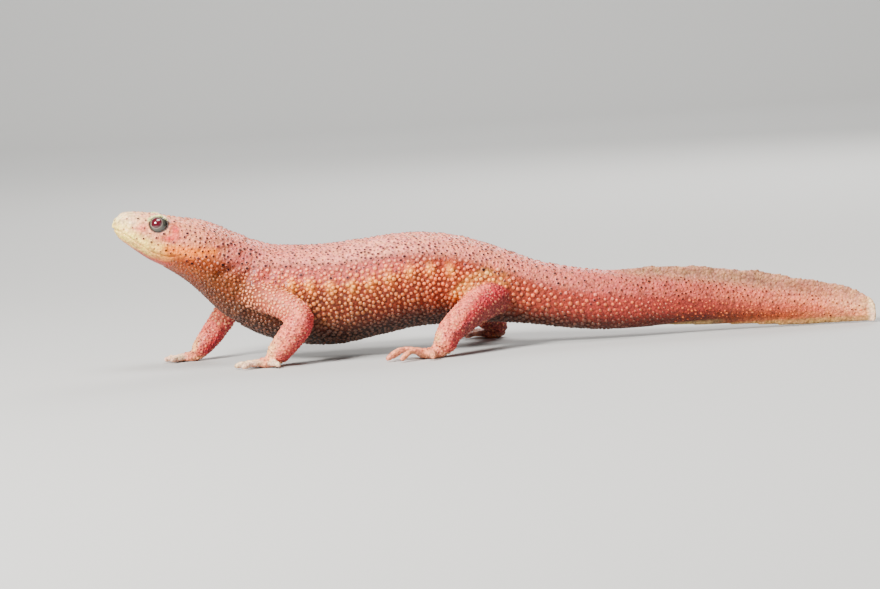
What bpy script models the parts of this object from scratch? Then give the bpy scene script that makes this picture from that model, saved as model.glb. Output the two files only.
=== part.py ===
# Iberian ribbed newt at life size, a still model standing on its four feet and the end of its tail.
# The head points to -X with the chin raised, the tail to +X, and +Z is up.
import math

import bmesh
import bpy
import numpy as np
from mathutils import Matrix, Vector

for old_object in list(bpy.data.objects):
    bpy.data.objects.remove(old_object, do_unlink=True)

# Sizes are in millimetres and turned into metres as each mesh is finished
MM = 0.001
GAP = 0.3
BODY_SIDES = 28
LIMB_SIDES = 14
TOE_SIDES = 8
THINNEST_EDGE = 0.5

# Rows of the body: place along X, height of the spine, rise to the back, drop to the belly, half width
BODY = np.array((
    (-87.3, 34.2, 1.7, 0.8, 1.5),
    (-86.8, 34.0, 2.8, 1.4, 2.7),
    (-85.9, 33.7, 3.6, 2.3, 4.2),
    (-83.8, 33.0, 4.3, 3.3, 5.9),
    (-80.6, 31.8, 5.1, 4.4, 7.3),
    (-77.4, 30.4, 5.7, 5.2, 8.2),
    (-73.5, 28.8, 6.5, 5.7, 9.0),
    (-70.1, 27.2, 7.4, 6.3, 9.6),
    (-66.7, 25.3, 8.0, 6.9, 9.5),
    (-63.3, 23.1, 8.4, 7.8, 8.8),
    (-59.9, 20.9, 9.0, 8.9, 8.5),
    (-56.5, 18.9, 9.6, 9.8, 8.9),
    (-52.0, 17.0, 10.4, 10.7, 9.6),
    (-47.4, 15.7, 11.1, 11.2, 10.5),
    (-38.0, 14.9, 11.5, 11.8, 11.6),
    (-28.6, 15.6, 11.5, 11.1, 12.0),
    (-19.1, 16.8, 11.0, 10.8, 11.4),
    (-9.7, 16.4, 10.3, 10.3, 9.9),
    (-0.5, 14.8, 8.7, 9.1, 8.3),
    (8.8, 12.3, 7.4, 7.4, 6.8),
    (18.0, 10.3, 7.1, 7.0, 5.9),
    (29.7, 9.1, 6.3, 7.0, 4.8),
    (43.8, 8.4, 5.2, 5.6, 3.7),
    (57.8, 7.1, 4.0, 4.2, 2.9),
    (71.8, 5.3, 2.7, 3.1, 2.0),
    (79.0, 4.2, 2.1, 2.5, 1.5),
    (84.6, 3.7, 1.4, 1.7, 1.1),
    (87.4, 3.5, 0.5, 0.6, 0.6),
))
SNOUT_TIP = (-87.55, 34.25)
TAIL_TIP = (88.2, 3.4)
# How square the cross-section is, 2 for an ellipse, at places along X
SQUARENESS = np.array(((-88.0, 2.7), (-70.0, 2.5), (-56.0, 2.2), (-20.0, 2.15), (20.0, 2.0), (88.0, 2.0)))
# Which way the spine runs seen from above, in degrees turned from +X towards +Y
HEADING = np.array((
    (-88.0, 9.5), (-70.0, 9.5), (-54.0, 0.0), (15.0, 0.0), (40.0, 2.5),
    (62.0, -0.5), (78.0, -3.0), (84.0, -12.0), (90.0, -42.0),
))
STRAIGHT_AT = -30.0

# Lengths of the body, each ending where the next begins
BODY_LENGTHS = (
    ("head", -87.55, -61.2),
    ("neck", -61.2, -54.0),
    ("torso_front", -54.0, -35.0),
    ("torso_middle", -35.0, -16.5),
    ("torso_rear", -16.5, 4.0),
    ("tail_base", 4.0, 31.0),
    ("tail_middle", 31.0, 60.0),
    ("tail_end", 60.0, 88.2),
)
RING_STEP = {"head": 1.9, "tail_base": 4.5, "tail_middle": 4.8, "tail_end": 3.6}
PLAIN_RING_STEP = 3.1

# The mouth line seen from the side, from the snout to the corner of the jaw, and the jaw's rear end
MOUTH_LINE = (
    (-90.0, 34.0), (-87.6, 33.4), (-86.4, 32.9), (-84.8, 31.9), (-83.4, 30.7),
    (-81.6, 29.3), (-79.8, 28.0), (-77.8, 27.1), (-75.8, 26.6), (-74.2, 26.6),
)
JAW_REAR_FOOT = (-75.8, 12.0)

EYE_PLACE = Vector((-77.35, 5.65, 33.7))
EYE_RADIUS = 2.35
EYE_LOOKS = Vector((-0.30, 0.86, 0.42))
LID_RADIUS = 2.4
LID_THICKNESS = 0.5
NOSTRIL_PLACE = Vector((-85.6, 2.9, 35.9))
NOSTRIL_RADIUS = 0.5

# Rib tubercles: a row of low bumps high on each flank
TUBERCLE_ROW = (-46.5, -9.6)
TUBERCLE_COUNT = 9
TUBERCLE_ANGLE = (13.0, 16.0)
TUBERCLE_SIZE = Vector((1.75, 1.1, 1.25))

# Fins: place along X, height above the tail's own edge
UPPER_FIN = np.array((
    (27.0, 0.2), (36.8, 1.9), (43.8, 2.5), (50.8, 2.9), (57.8, 3.3),
    (71.8, 3.5), (81.0, 3.4), (85.0, 3.2), (87.6, 2.9),
))
LOWER_FIN = np.array(((38.0, 0.2), (48.0, 1.3), (57.8, 1.8), (66.0, 2.1)))
FIN_ROOT_THICKNESS = 1.1
FIN_END = 89.9
FIN_END_TOP = 4.6
LOWER_FIN_ENDS = 86.2
UPPER_FIN_STARTS = 26.2
LOWER_FIN_STARTS = 37.0
UPPER_FIN_ENDS = 86.6
FIN_STEP = 3.6
# The upper fin's end: how far ahead of and above the tail's tip it passes, and how it turns down behind it
FIN_PASSES_TIP = (0.35, 0.9)
FIN_TURNS_DOWN = (0.1, 0.35)

# Each limb: path points and radii from inside the body to the ankle, then the foot
# A foot turns from -X towards the animal's own side, and each toe has its turn and its length
LIMBS = {
    "front_leg_left": {
        "side": -1,
        "path": (
            (-57.5, -4.8, 16.2, 3.4), (-53.0, -9.6, 15.6, 3.3), (-48.4, -13.2, 13.8, 3.1),
            (-44.7, -15.4, 10.6, 3.1), (-47.3, -15.7, 6.6, 3.1), (-50.6, -15.2, 2.9, 2.6),
        ),
        "joint": 3,
        "foot": {"turn": 8.0, "palm": (2.9, 2.3, 1.3), "reach": 2.2},
        "toes": ((-32.0, 4.4), (-4.0, 5.8), (24.0, 5.0), (112.0, 3.4)),
    },
    "front_leg_right": {
        "side": 1,
        "path": (
            (-56.5, 4.6, 15.6, 3.4), (-59.4, 8.8, 14.2, 3.2), (-62.8, 11.4, 11.2, 2.9),
            (-65.4, 12.4, 7.8, 2.8), (-67.7, 12.0, 5.0, 2.6), (-70.0, 10.8, 2.5, 2.1),
        ),
        "joint": 3,
        "foot": {"turn": -6.0, "palm": (2.7, 2.1, 1.2), "reach": 2.0},
        "toes": ((-30.0, 4.0), (-4.0, 4.8), (22.0, 4.4), (58.0, 3.6)),
    },
    "hind_leg_left": {
        "side": -1,
        "path": (
            (2.6, -3.2, 12.5, 4.1), (-1.0, -7.6, 11.6, 4.0), (-4.8, -12.0, 9.8, 3.7),
            (-8.4, -15.6, 7.5, 3.2), (-10.8, -17.6, 5.3, 2.9), (-12.0, -18.5, 2.9, 2.6),
        ),
        "joint": 3,
        "foot": {"turn": 8.0, "palm": (3.6, 2.5, 1.35), "reach": 3.0},
        "toes": ((-40.0, 5.2), (-14.0, 7.4), (6.0, 8.8), (30.0, 7.0), (84.0, 3.6)),
    },
    "hind_leg_right": {
        "side": 1,
        "path": (
            (4.4, 3.6, 12.0, 4.4), (0.8, 8.2, 11.0, 4.5), (-1.6, 12.6, 8.9, 3.7),
            (-2.6, 15.6, 6.3, 3.0), (-0.8, 17.2, 4.4, 2.5), (1.6, 17.8, 2.7, 1.9),
        ),
        "joint": 3,
        "foot": {"turn": 42.0, "palm": (3.4, 2.4, 1.3), "reach": 2.6},
        "toes": ((-44.0, 4.6), (-18.0, 6.6), (4.0, 7.8), (26.0, 6.6), (62.0, 4.4)),
    },
}
TOE_RADII = (0.85, 0.6)
TOE_SINKS = 0.12
TOE_RING_PLACES = (0.0, 0.3, 0.6, 0.85, 0.97)
# Rings along the upper limb, the lower limb and the ankle, which begins a little before the path's end
LIMB_RINGS = (9, 7, 3)
ANKLE_LENGTH = 0.45
SHIN_SPACE = 2.6
ANKLE_ENDS_BEHIND = 0.8
# The part of the body that the limbs are cut clear of
BODY_BY_LIMBS = np.arange(-68.0, 16.1, 2.0)


def smooth_between(place, places, values):
    # A smooth curve through the given values
    slopes = np.gradient(values, places)
    index = np.clip(np.searchsorted(places, place) - 1, 0, len(places) - 2)
    span = places[index + 1] - places[index]
    t = np.clip((place - places[index]) / span, 0.0, 1.0)
    start = (1 + 2 * t) * (1 - t) ** 2 * values[index] + t * (1 - t) ** 2 * span * slopes[index]
    end = t * t * (3 - 2 * t) * values[index + 1] + t * t * (t - 1) * span * slopes[index + 1]
    return start + end


def body_at(x):
    # Spine height, rise, drop, half width and squareness at a place along the body
    height, rise, drop, width = (smooth_between(x, BODY[:, 0], BODY[:, i]) for i in range(1, 5))
    return height, rise, drop, width, np.interp(x, *SQUARENESS.T)


def spine_slope(x):
    step = 0.5
    low, high = np.clip((x - step, x + step), BODY[0, 0], BODY[-1, 0])
    return math.atan2(body_at(high)[0] - body_at(low)[0], high - low)


def section_point(x, angle, grow=0.0):
    # A point of the body's skin, at an angle from the side (0) over the back (90) to the other side
    height, rise, drop, width, square = body_at(x)
    cosine, sine = math.cos(angle), math.sin(angle)
    side = math.copysign(abs(cosine) ** (2 / square), cosine) * (width + grow)
    lift = math.copysign(abs(sine) ** (2 / square), sine) * ((rise if sine > 0 else drop) + grow)
    slope = spine_slope(x)
    return Vector((x - lift * math.sin(slope), side, height + lift * math.cos(slope)))


def ring_on_body(x, grow=0.0):
    return [section_point(x, 2 * math.pi * i / BODY_SIDES, grow) for i in range(BODY_SIDES)]


def edge_line(angle):
    # The body's top or bottom edge seen from the side
    edge = [section_point(place, angle) for place in np.linspace(BODY[0, 0], BODY[-1, 0], 240)]
    return [point.x for point in edge], [point.z for point in edge]


BACK_EDGE = edge_line(math.pi / 2)
BELLY_EDGE = edge_line(-math.pi / 2)


def edge_height(x, top):
    return float(np.interp(x, *(BACK_EDGE if top else BELLY_EDGE)))


def lateral_path():
    # Turns places along the straight spine into the curved spine seen from above
    places = np.linspace(-100.0, 100.0, 801)
    heading = np.radians(np.interp(places, *HEADING.T))
    step = places[1] - places[0]
    across = np.cumsum(np.sin(heading)) * step
    along = np.cumsum(np.cos(heading)) * step
    across -= np.interp(STRAIGHT_AT, places, across)
    along += STRAIGHT_AT - np.interp(STRAIGHT_AT, places, along)
    return places, along, across, heading


PATH = lateral_path()


def bend(point):
    # Moves a point of the straight model to its place beside the curved spine
    places, along, across, heading = PATH
    turn = np.interp(point.x, places, heading)
    x = np.interp(point.x, places, along) - math.sin(turn) * point.y
    y = np.interp(point.x, places, across) + math.cos(turn) * point.y
    return Vector((x, y, point.z))


def tube(rings, start_pole=None, end_pole=None):
    # One closed tube made by extruding a disc from ring to ring, each end flat or drawn to a pole
    bm = bmesh.new()
    bmesh.ops.create_circle(bm, cap_ends=True, segments=len(rings[0]), radius=1.0)
    face = bm.faces[:][0]
    for vertex, place in zip(face.verts, rings[0]):
        vertex.co = place
    for i, ring in enumerate(rings[1:]):
        last_face = face
        made = bmesh.ops.extrude_face_region(bm, geom=[last_face])["geom"]
        face = next(part for part in made if isinstance(part, bmesh.types.BMFace))
        if i > 0:
            bmesh.ops.delete(bm, geom=[last_face], context="FACES_ONLY")
        for vertex, place in zip(face.verts, ring):
            vertex.co = place
    bm.faces.ensure_lookup_table()
    ends = []
    for ring, pole in ((rings[0], start_pole), (rings[-1], end_pole)):
        if pole is not None:
            cap = min(
                (f for f in bm.faces if len(f.verts) == len(ring)),
                key=lambda f: (f.calc_center_median() - sum(ring, Vector()) / len(ring)).length,
            )
            ends.append((cap, pole))
    for cap, pole in ends:
        centre = bmesh.ops.poke(bm, faces=[cap])["verts"][0]
        centre.co = pole
    bmesh.ops.recalc_face_normals(bm, faces=bm.faces)
    return bm


def ball(centre, radii, segments=12, rings=8, turn=None):
    bm = bmesh.new()
    bmesh.ops.create_uvsphere(bm, u_segments=segments, v_segments=rings, radius=1.0)
    bmesh.ops.scale(bm, vec=radii, verts=bm.verts)
    if turn is not None:
        bmesh.ops.transform(bm, matrix=turn.to_matrix().to_4x4(), verts=bm.verts)
    bmesh.ops.translate(bm, vec=centre, verts=bm.verts)
    return bm


def material(name, colour, roughness):
    made = bpy.data.materials.new(name)
    made.use_nodes = True
    shader = made.node_tree.nodes["Principled BSDF"]
    shader.inputs["Base Color"].default_value = (*colour, 1.0)
    shader.inputs["Roughness"].default_value = roughness
    shader.inputs["Metallic"].default_value = 0.0
    return made


def place_object(name, bm, look=None):
    mesh = bpy.data.meshes.new(name)
    bm.to_mesh(mesh)
    bm.free()
    made = bpy.data.objects.new(name, mesh)
    bpy.context.scene.collection.objects.link(made)
    if look is not None:
        mesh.materials.append(look)
    return made


def combine(target, pieces, operation):
    # Joins or cuts the target with all the pieces in one Boolean, and removes the pieces
    group = bpy.data.collections.new("pieces")
    for i, bm in enumerate(pieces):
        piece = place_object(f"piece_{i}", bm)
        bpy.context.scene.collection.objects.unlink(piece)
        group.objects.link(piece)
    bpy.context.scene.collection.children.link(group)
    cut = target.modifiers.new("combine", "BOOLEAN")
    cut.operand_type = "COLLECTION"
    cut.collection = group
    cut.operation = operation
    cut.solver = "EXACT"
    bpy.context.view_layer.update()
    evaluated = target.evaluated_get(bpy.context.evaluated_depsgraph_get())
    mesh = bpy.data.meshes.new_from_object(evaluated)
    target.modifiers.clear()
    target.data = mesh
    for piece in list(group.objects):
        bpy.data.objects.remove(piece, do_unlink=True)
    bpy.data.collections.remove(group)
    keep_largest(target)


def keep_largest(target):
    # Keeps the closed surface that holds the most, and drops loose scraps
    bm = bmesh.new()
    bm.from_mesh(target.data)
    bmesh.ops.remove_doubles(bm, verts=bm.verts, dist=0.002)
    bmesh.ops.dissolve_degenerate(bm, edges=bm.edges, dist=0.002)
    waiting = set(bm.verts)
    shells = []
    while waiting:
        front = [waiting.pop()]
        shell = set(front)
        while front:
            for edge in front.pop().link_edges:
                for vertex in edge.verts:
                    if vertex in waiting:
                        waiting.discard(vertex)
                        shell.add(vertex)
                        front.append(vertex)
        shells.append(shell)
    if len(shells) > 1:
        sizes = [spread(shell) for shell in shells]
        largest = shells[sizes.index(max(sizes))]
        bmesh.ops.delete(bm, geom=[v for v in bm.verts if v not in largest], context="VERTS")
    bm.to_mesh(target.data)
    bm.free()


def spread(vertices):
    places = np.array([v.co for v in vertices])
    return float(np.prod(places.max(axis=0) - places.min(axis=0) + 0.01))


def finish(target, bent):
    # Bends a piece of the spine, cleans its mesh, and turns it to metres with smooth shading
    bm = bmesh.new()
    bm.from_mesh(target.data)
    bmesh.ops.triangulate(bm, faces=[f for f in bm.faces if len(f.verts) > 4])
    if bent:
        for vertex in bm.verts:
            vertex.co = bend(vertex.co)
    bmesh.ops.scale(bm, vec=(MM, MM, MM), verts=bm.verts)
    bmesh.ops.recalc_face_normals(bm, faces=bm.faces)
    bm.to_mesh(target.data)
    bm.free()
    target.data.shade_smooth()
    target.data.set_sharp_from_angle(angle=math.radians(50))


def body_length(name, start, end):
    # The loft of one length of the body, half a gap short of each neighbour
    tips = {"head": "start", "tail_end": "end"}
    low = BODY[0, 0] if name == "head" else start + GAP / 2
    high = BODY[-1, 0] if name == "tail_end" else end - GAP / 2
    count = max(2, round((high - low) / RING_STEP.get(name, PLAIN_RING_STEP)))
    places = list(np.linspace(low, high, count + 1))
    if name == "head":
        places[1:1] = list(np.linspace(low, places[1], 4)[1:3])
    start_pole = Vector((SNOUT_TIP[0], 0.0, SNOUT_TIP[1])) if tips.get(name) == "start" else None
    end_pole = Vector((TAIL_TIP[0], 0.0, TAIL_TIP[1])) if tips.get(name) == "end" else None
    return tube([ring_on_body(x) for x in places], start_pole, end_pole)


def mouth_wedge(shift):
    # The space below the mouth line and ahead of the jaw's rear end, drawn in by a shift, across the head
    line = [Vector((x, -14.0, z - shift)) for x, z in MOUTH_LINE]
    line[-1].x -= shift
    front = Vector((MOUTH_LINE[0][0], -14.0, JAW_REAR_FOOT[1]))
    rear = Vector((JAW_REAR_FOOT[0] - shift, -14.0, JAW_REAR_FOOT[1]))
    outline = line + [rear, front]
    bm = bmesh.new()
    face = bm.faces.new([bm.verts.new(place) for place in outline])
    made = bmesh.ops.extrude_face_region(bm, geom=[face])["geom"]
    bmesh.ops.translate(bm, vec=(0, 28.0, 0), verts=[v for v in made if isinstance(v, bmesh.types.BMVert)])
    bmesh.ops.recalc_face_normals(bm, faces=bm.faces)
    return bm


def mirrored(vector, side):
    return Vector((vector.x, vector.y * side, vector.z))


def lid_ring(side):
    # The raised rim of both lids, a ring about the way the eye looks
    axis = mirrored(EYE_LOOKS, side).normalized()
    turn = axis.to_track_quat("Z", "Y")
    centre = mirrored(EYE_PLACE, side) + axis * 0.55
    bm = bmesh.new()
    profile = bmesh.ops.create_circle(bm, cap_ends=False, segments=8, radius=LID_THICKNESS)["verts"]
    upright = Matrix.Rotation(math.radians(90), 4, "X")
    bmesh.ops.transform(bm, matrix=upright, verts=profile)
    bmesh.ops.translate(bm, vec=(LID_RADIUS, 0, 0), verts=profile)
    bmesh.ops.spin(
        bm, geom=bm.verts[:] + bm.edges[:], cent=(0, 0, 0), axis=(0, 0, 1),
        angle=2 * math.pi, steps=18, use_merge=True,
    )
    bmesh.ops.remove_doubles(bm, verts=bm.verts, dist=0.001)
    bmesh.ops.recalc_face_normals(bm, faces=bm.faces)
    bmesh.ops.transform(bm, matrix=Matrix.Translation(centre) @ turn.to_matrix().to_4x4(), verts=bm.verts)
    return bm


def make_head(skin, jaw_skin, eye_look):
    name, start, end = BODY_LENGTHS[0]
    head = place_object(name, body_length(name, start, end), skin)
    combine(head, [lid_ring(-1), lid_ring(1)], "UNION")
    socket_radii = Vector((1, 1, 1)) * (EYE_RADIUS + GAP)
    sockets = [ball(mirrored(EYE_PLACE, side), socket_radii, 16, 12) for side in (-1, 1)]
    nostril_radii = Vector((1, 1, 1)) * NOSTRIL_RADIUS
    nostrils = [ball(mirrored(NOSTRIL_PLACE, side), nostril_radii, 8, 6) for side in (-1, 1)]
    combine(head, sockets + nostrils, "DIFFERENCE")
    jaw = place_object("lower_jaw", body_length(name, start, end), jaw_skin)
    combine(jaw, [mouth_wedge(GAP)], "INTERSECT")
    combine(head, [mouth_wedge(0.0)], "DIFFERENCE")
    eyes = []
    for side, label in ((-1, "left"), (1, "right")):
        radii = Vector((1, 1, 1)) * EYE_RADIUS
        eyes.append(place_object(f"eye_{label}", ball(mirrored(EYE_PLACE, side), radii, 16, 12), eye_look))
    for piece in [head, jaw] + eyes:
        finish(piece, bent=True)


def tubercles(start, end):
    # The bumps of both rows that stand on one length of the body
    bumps = []
    for i, x in enumerate(np.linspace(*TUBERCLE_ROW, TUBERCLE_COUNT)):
        if start + TUBERCLE_SIZE.x < x < end - TUBERCLE_SIZE.x:
            angle = math.radians(np.interp(x, TUBERCLE_ROW, TUBERCLE_ANGLE))
            size = TUBERCLE_SIZE * (0.92 + 0.16 * math.sin(math.pi * i / (TUBERCLE_COUNT - 1)))
            for side in (-1, 1):
                place = section_point(x, angle)
                bumps.append(ball(mirrored(place, side), size, 10, 6))
    return bumps


def make_trunk(looks):
    for name, start, end in BODY_LENGTHS[1:]:
        piece = place_object(name, body_length(name, start, end), looks[name])
        bumps = tubercles(start, end)
        if bumps:
            combine(piece, bumps, "UNION")
        finish(piece, bent=True)


def fin_ring(x, low, high, root_low):
    # Six points round the fin at one place, thick at the root and thin at the free edge
    middle = (low + high) / 2
    root, edge = FIN_ROOT_THICKNESS / 2, THINNEST_EDGE / 2
    mid = (root + edge) / 2
    widths = (root, mid, edge) if root_low else (edge, mid, root)
    levels = (low, middle, high)
    right = [Vector((x, half, z)) for half, z in zip(widths, levels)]
    left = [Vector((x, -half, z)) for half, z in zip(widths[::-1], levels[::-1])]
    return right + left


def upper_fin_top(x):
    return edge_height(min(x, BODY[-1, 0]), True) + smooth_between(x, *UPPER_FIN.T)


def make_upper_fin(look):
    # The plate stands on the tail, then passes its tip and comes down to the floor behind it
    rings = []
    count = round((UPPER_FIN_ENDS - UPPER_FIN_STARTS) / FIN_STEP)
    for x in np.linspace(UPPER_FIN_STARTS, UPPER_FIN_ENDS, count):
        low = edge_height(x, True) + GAP
        rings.append(fin_ring(x, low, max(upper_fin_top(x), low + THINNEST_EDGE), True))
    behind_tail = TAIL_TIP[0] + GAP
    top = upper_fin_top(UPPER_FIN[-1, 0])
    over_tip = TAIL_TIP[1] + FIN_PASSES_TIP[1] + GAP
    rings.append(fin_ring(behind_tail - FIN_PASSES_TIP[0], over_tip, top, True))
    turned = top + (FIN_END_TOP - top) * FIN_TURNS_DOWN[1]
    rings.append(fin_ring(behind_tail + FIN_TURNS_DOWN[0], 0.0, turned, True))
    rings.append(fin_ring(FIN_END, 0.0, FIN_END_TOP, True))
    fin = place_object("tail_fin_upper", tube(rings), look)
    finish(fin, bent=True)


def make_lower_fin(look):
    rings = []
    count = round((LOWER_FIN_ENDS - LOWER_FIN_STARTS) / FIN_STEP)
    for x in np.linspace(LOWER_FIN_STARTS, LOWER_FIN_ENDS, count):
        high = edge_height(x, False) - GAP
        low = high - max(smooth_between(x, *LOWER_FIN.T) - GAP, THINNEST_EDGE)
        if x > LOWER_FIN[-1, 0]:
            low = 0.0
        rings.append(fin_ring(x, max(low, 0.0), high, False))
    fin = place_object("tail_fin_lower", tube(rings), look)
    finish(fin, bent=True)


def limb_curve(path, position):
    # Place and radius on a smooth curve through a limb's path points, at a position counted in points
    points = np.array(path)
    counts = np.arange(len(points), dtype=float)
    return np.array([smooth_between(position, counts, points[:, i]) for i in range(4)])


def limb_frame(path, position):
    # Centre, radius and direction of the limb at one position
    before, after = np.clip((position - 0.04, position + 0.04), 0, len(path) - 1)
    along = Vector(limb_curve(path, after)[:3] - limb_curve(path, before)[:3]).normalized()
    *centre, radius = (float(value) for value in limb_curve(path, position))
    return Vector(centre), radius, along


def limb_rings(path, start, end, count, cuts=(False, False)):
    # Circles square to the limb, each turned as little as possible from the last
    # At a cut end every point stays half a gap clear of the plane square to the limb there
    rings = []
    across = Vector((1, 0, 0))
    for position in np.linspace(start, end, count):
        centre, radius, along = limb_frame(path, position)
        across = (across - along * across.dot(along)).normalized()
        upright = along.cross(across)
        turns = [2 * math.pi * i / LIMB_SIDES for i in range(LIMB_SIDES)]
        rings.append([centre + radius * (math.cos(a) * across + math.sin(a) * upright) for a in turns])
    for cut, position, inward in zip(cuts, (start, end), (1, -1)):
        if cut:
            centre, _, along = limb_frame(path, position)
            for point in (point for ring in rings for point in ring):
                short = GAP / 2 - (point - centre).dot(along) * inward
                if short > 0:
                    point += along * inward * short
    return rings


def toe(start, turn, length):
    # A tapered toe that slopes from the palm to the floor, bowed a little, with a round tip
    ahead = Vector((-math.cos(turn), math.sin(turn), 0))
    aside = Vector((ahead.y, -ahead.x, 0))
    rings = []
    for part in TOE_RING_PLACES:
        radius = float(np.interp(part, (0.0, 0.85, 0.97), (*TOE_RADII, TOE_RADII[1] * 0.6)))
        height = np.interp(part, (0.0, 0.6, 1.0), (start.z, TOE_RADII[0] + 0.1, TOE_RADII[1])) - TOE_SINKS
        centre = Vector((start.x, start.y, height)) + ahead * length * part
        turns = [2 * math.pi * i / TOE_SIDES for i in range(TOE_SIDES)]
        upright = Vector((0, 0, 1))
        rings.append([centre + radius * (math.cos(a) * aside + math.sin(a) * upright) for a in turns])
    tip = Vector((start.x, start.y, TOE_RADII[1] - TOE_SINKS)) + ahead * (length + 0.1)
    return tube(rings, end_pole=tip)


def below_floor(piece):
    # A block that reaches from the floor down, under one piece, to cut its sole flat
    places = np.array([v.co for v in piece.data.vertices])
    low, high = places.min(axis=0) - 2, places.max(axis=0) + 2
    high[2] = 0.0
    bm = bmesh.new()
    bmesh.ops.create_cube(bm, size=1.0)
    bmesh.ops.scale(bm, vec=high - low, verts=bm.verts)
    bmesh.ops.translate(bm, vec=(high + low) / 2, verts=bm.verts)
    return bm


def shin_space(path, position):
    # The space of the limb above the ankle, which the foot keeps out of by a gap
    centre, radius, along = limb_frame(path, position)
    size = radius * SHIN_SPACE
    bm = bmesh.new()
    bmesh.ops.create_cube(bm, size=size)
    middle = centre - along * (size / 2 - GAP / 2)
    turn = along.to_track_quat("Z", "Y").to_matrix().to_4x4()
    bmesh.ops.transform(bm, matrix=Matrix.Translation(middle) @ turn, verts=bm.verts)
    return bm


def make_limb(name, plan, look, foot_look):
    path, joint = plan["path"], plan["joint"]
    last = len(path) - 1
    wrist = last - ANKLE_LENGTH
    upper = limb_rings(path, 0.0, joint, LIMB_RINGS[0], (False, True))
    lower = limb_rings(path, joint, wrist, LIMB_RINGS[1], (True, True))
    ankle = limb_rings(path, wrist, last, LIMB_RINGS[2], (True, False))
    arm = place_object(f"{name}_upper", tube(upper), look)
    trunk = tube([ring_on_body(x, grow=GAP) for x in BODY_BY_LIMBS])
    combine(arm, [trunk], "DIFFERENCE")
    finish(arm, bent=False)
    shin = place_object(f"{name}_lower", tube(lower), look)
    finish(shin, bent=False)
    make_foot(name, plan, ankle, shin_space(path, wrist), foot_look)


def make_foot(name, plan, ankle_rings, shin, look):
    side, foot = plan["side"], plan["foot"]
    turn = math.radians(foot["turn"])
    ahead = Vector((-math.cos(turn), math.sin(turn) * side, 0))
    ankle = Vector(plan["path"][-1][:3])
    palm_centre = ankle + ahead * foot["reach"]
    palm_centre.z = foot["palm"][2] - 0.25
    sole = palm_centre - ahead * ANKLE_ENDS_BEHIND
    piece = place_object(f"{name}_foot", tube(ankle_rings, end_pole=sole), look)
    heading = math.atan2(ahead.y, ahead.x)
    palm = ball(palm_centre, foot["palm"], 14, 8)
    spin = Matrix.Rotation(heading, 4, "Z")
    spin = Matrix.Translation(palm_centre) @ spin @ Matrix.Translation(-palm_centre)
    bmesh.ops.transform(palm, matrix=spin, verts=palm.verts)
    parts = [palm]
    for toe_turn, length in plan["toes"]:
        angle = turn + math.radians(toe_turn)
        out = Vector((-math.cos(angle), math.sin(angle) * side, 0))
        start = palm_centre + out * (foot["palm"][1] * 0.55)
        start.z = foot["palm"][2]
        parts.append(toe(start, angle * side, length + foot["palm"][1] * 0.4))
    combine(piece, parts, "UNION")
    combine(piece, [below_floor(piece), shin], "DIFFERENCE")
    finish(piece, bent=False)


def main():
    back_skin = material("back_skin", (0.80, 0.42, 0.34), 0.5)
    head_skin = material("head_skin", (0.84, 0.55, 0.40), 0.5)
    jaw_skin = material("throat_skin", (0.78, 0.45, 0.28), 0.5)
    flank_skin = material("flank_skin", (0.82, 0.48, 0.27), 0.5)
    tail_skin = material("tail_skin", (0.85, 0.42, 0.32), 0.5)
    limb_skin = material("limb_skin", (0.88, 0.50, 0.42), 0.5)
    foot_skin = material("foot_skin", (0.92, 0.78, 0.68), 0.5)
    fin_skin = material("fin_skin", (0.80, 0.70, 0.56), 0.4)
    eye_look = material("eye", (0.20, 0.04, 0.04), 0.1)
    looks = {name: flank_skin if "torso" in name else tail_skin for name, _, _ in BODY_LENGTHS}
    looks["neck"] = back_skin
    make_head(head_skin, jaw_skin, eye_look)
    make_trunk(looks)
    make_upper_fin(fin_skin)
    make_lower_fin(fin_skin)
    for name, plan in LIMBS.items():
        make_limb(name, plan, limb_skin, foot_skin)
    centre_on_origin()


def centre_on_origin():
    # Puts the middle of the whole animal's outline over the origin, with the floor left at zero
    pieces = [o for o in bpy.data.objects if o.type == "MESH"]
    places = np.concatenate([np.array([v.co for v in piece.data.vertices]) for piece in pieces])
    middle = (places.max(axis=0) + places.min(axis=0)) / 2
    for piece in pieces:
        piece.data.transform(Matrix.Translation((-middle[0], -middle[1], 0.0)))
    print("middle moved from, in mm:", middle[0] / MM, middle[1] / MM)


main()
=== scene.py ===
import itertools
import math

import bmesh
import bpy
import numpy as np
from mathutils import Matrix, Vector


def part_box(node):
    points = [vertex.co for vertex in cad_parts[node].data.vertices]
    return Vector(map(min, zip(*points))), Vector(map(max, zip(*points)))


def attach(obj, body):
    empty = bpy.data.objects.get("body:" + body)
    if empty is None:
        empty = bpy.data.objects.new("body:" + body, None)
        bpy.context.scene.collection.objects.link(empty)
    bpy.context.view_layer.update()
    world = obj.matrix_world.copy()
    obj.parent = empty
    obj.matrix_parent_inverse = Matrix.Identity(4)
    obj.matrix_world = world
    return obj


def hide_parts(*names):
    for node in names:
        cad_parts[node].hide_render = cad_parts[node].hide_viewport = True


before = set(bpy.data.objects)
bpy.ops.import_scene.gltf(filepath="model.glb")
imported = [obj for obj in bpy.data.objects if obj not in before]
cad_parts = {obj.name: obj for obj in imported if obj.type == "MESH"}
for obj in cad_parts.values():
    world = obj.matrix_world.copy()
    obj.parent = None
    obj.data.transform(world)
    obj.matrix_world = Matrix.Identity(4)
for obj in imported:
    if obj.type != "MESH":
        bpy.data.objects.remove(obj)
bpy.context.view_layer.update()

mm = 0.001  # every form below is worked out in millimetres, then brought to metres

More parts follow.
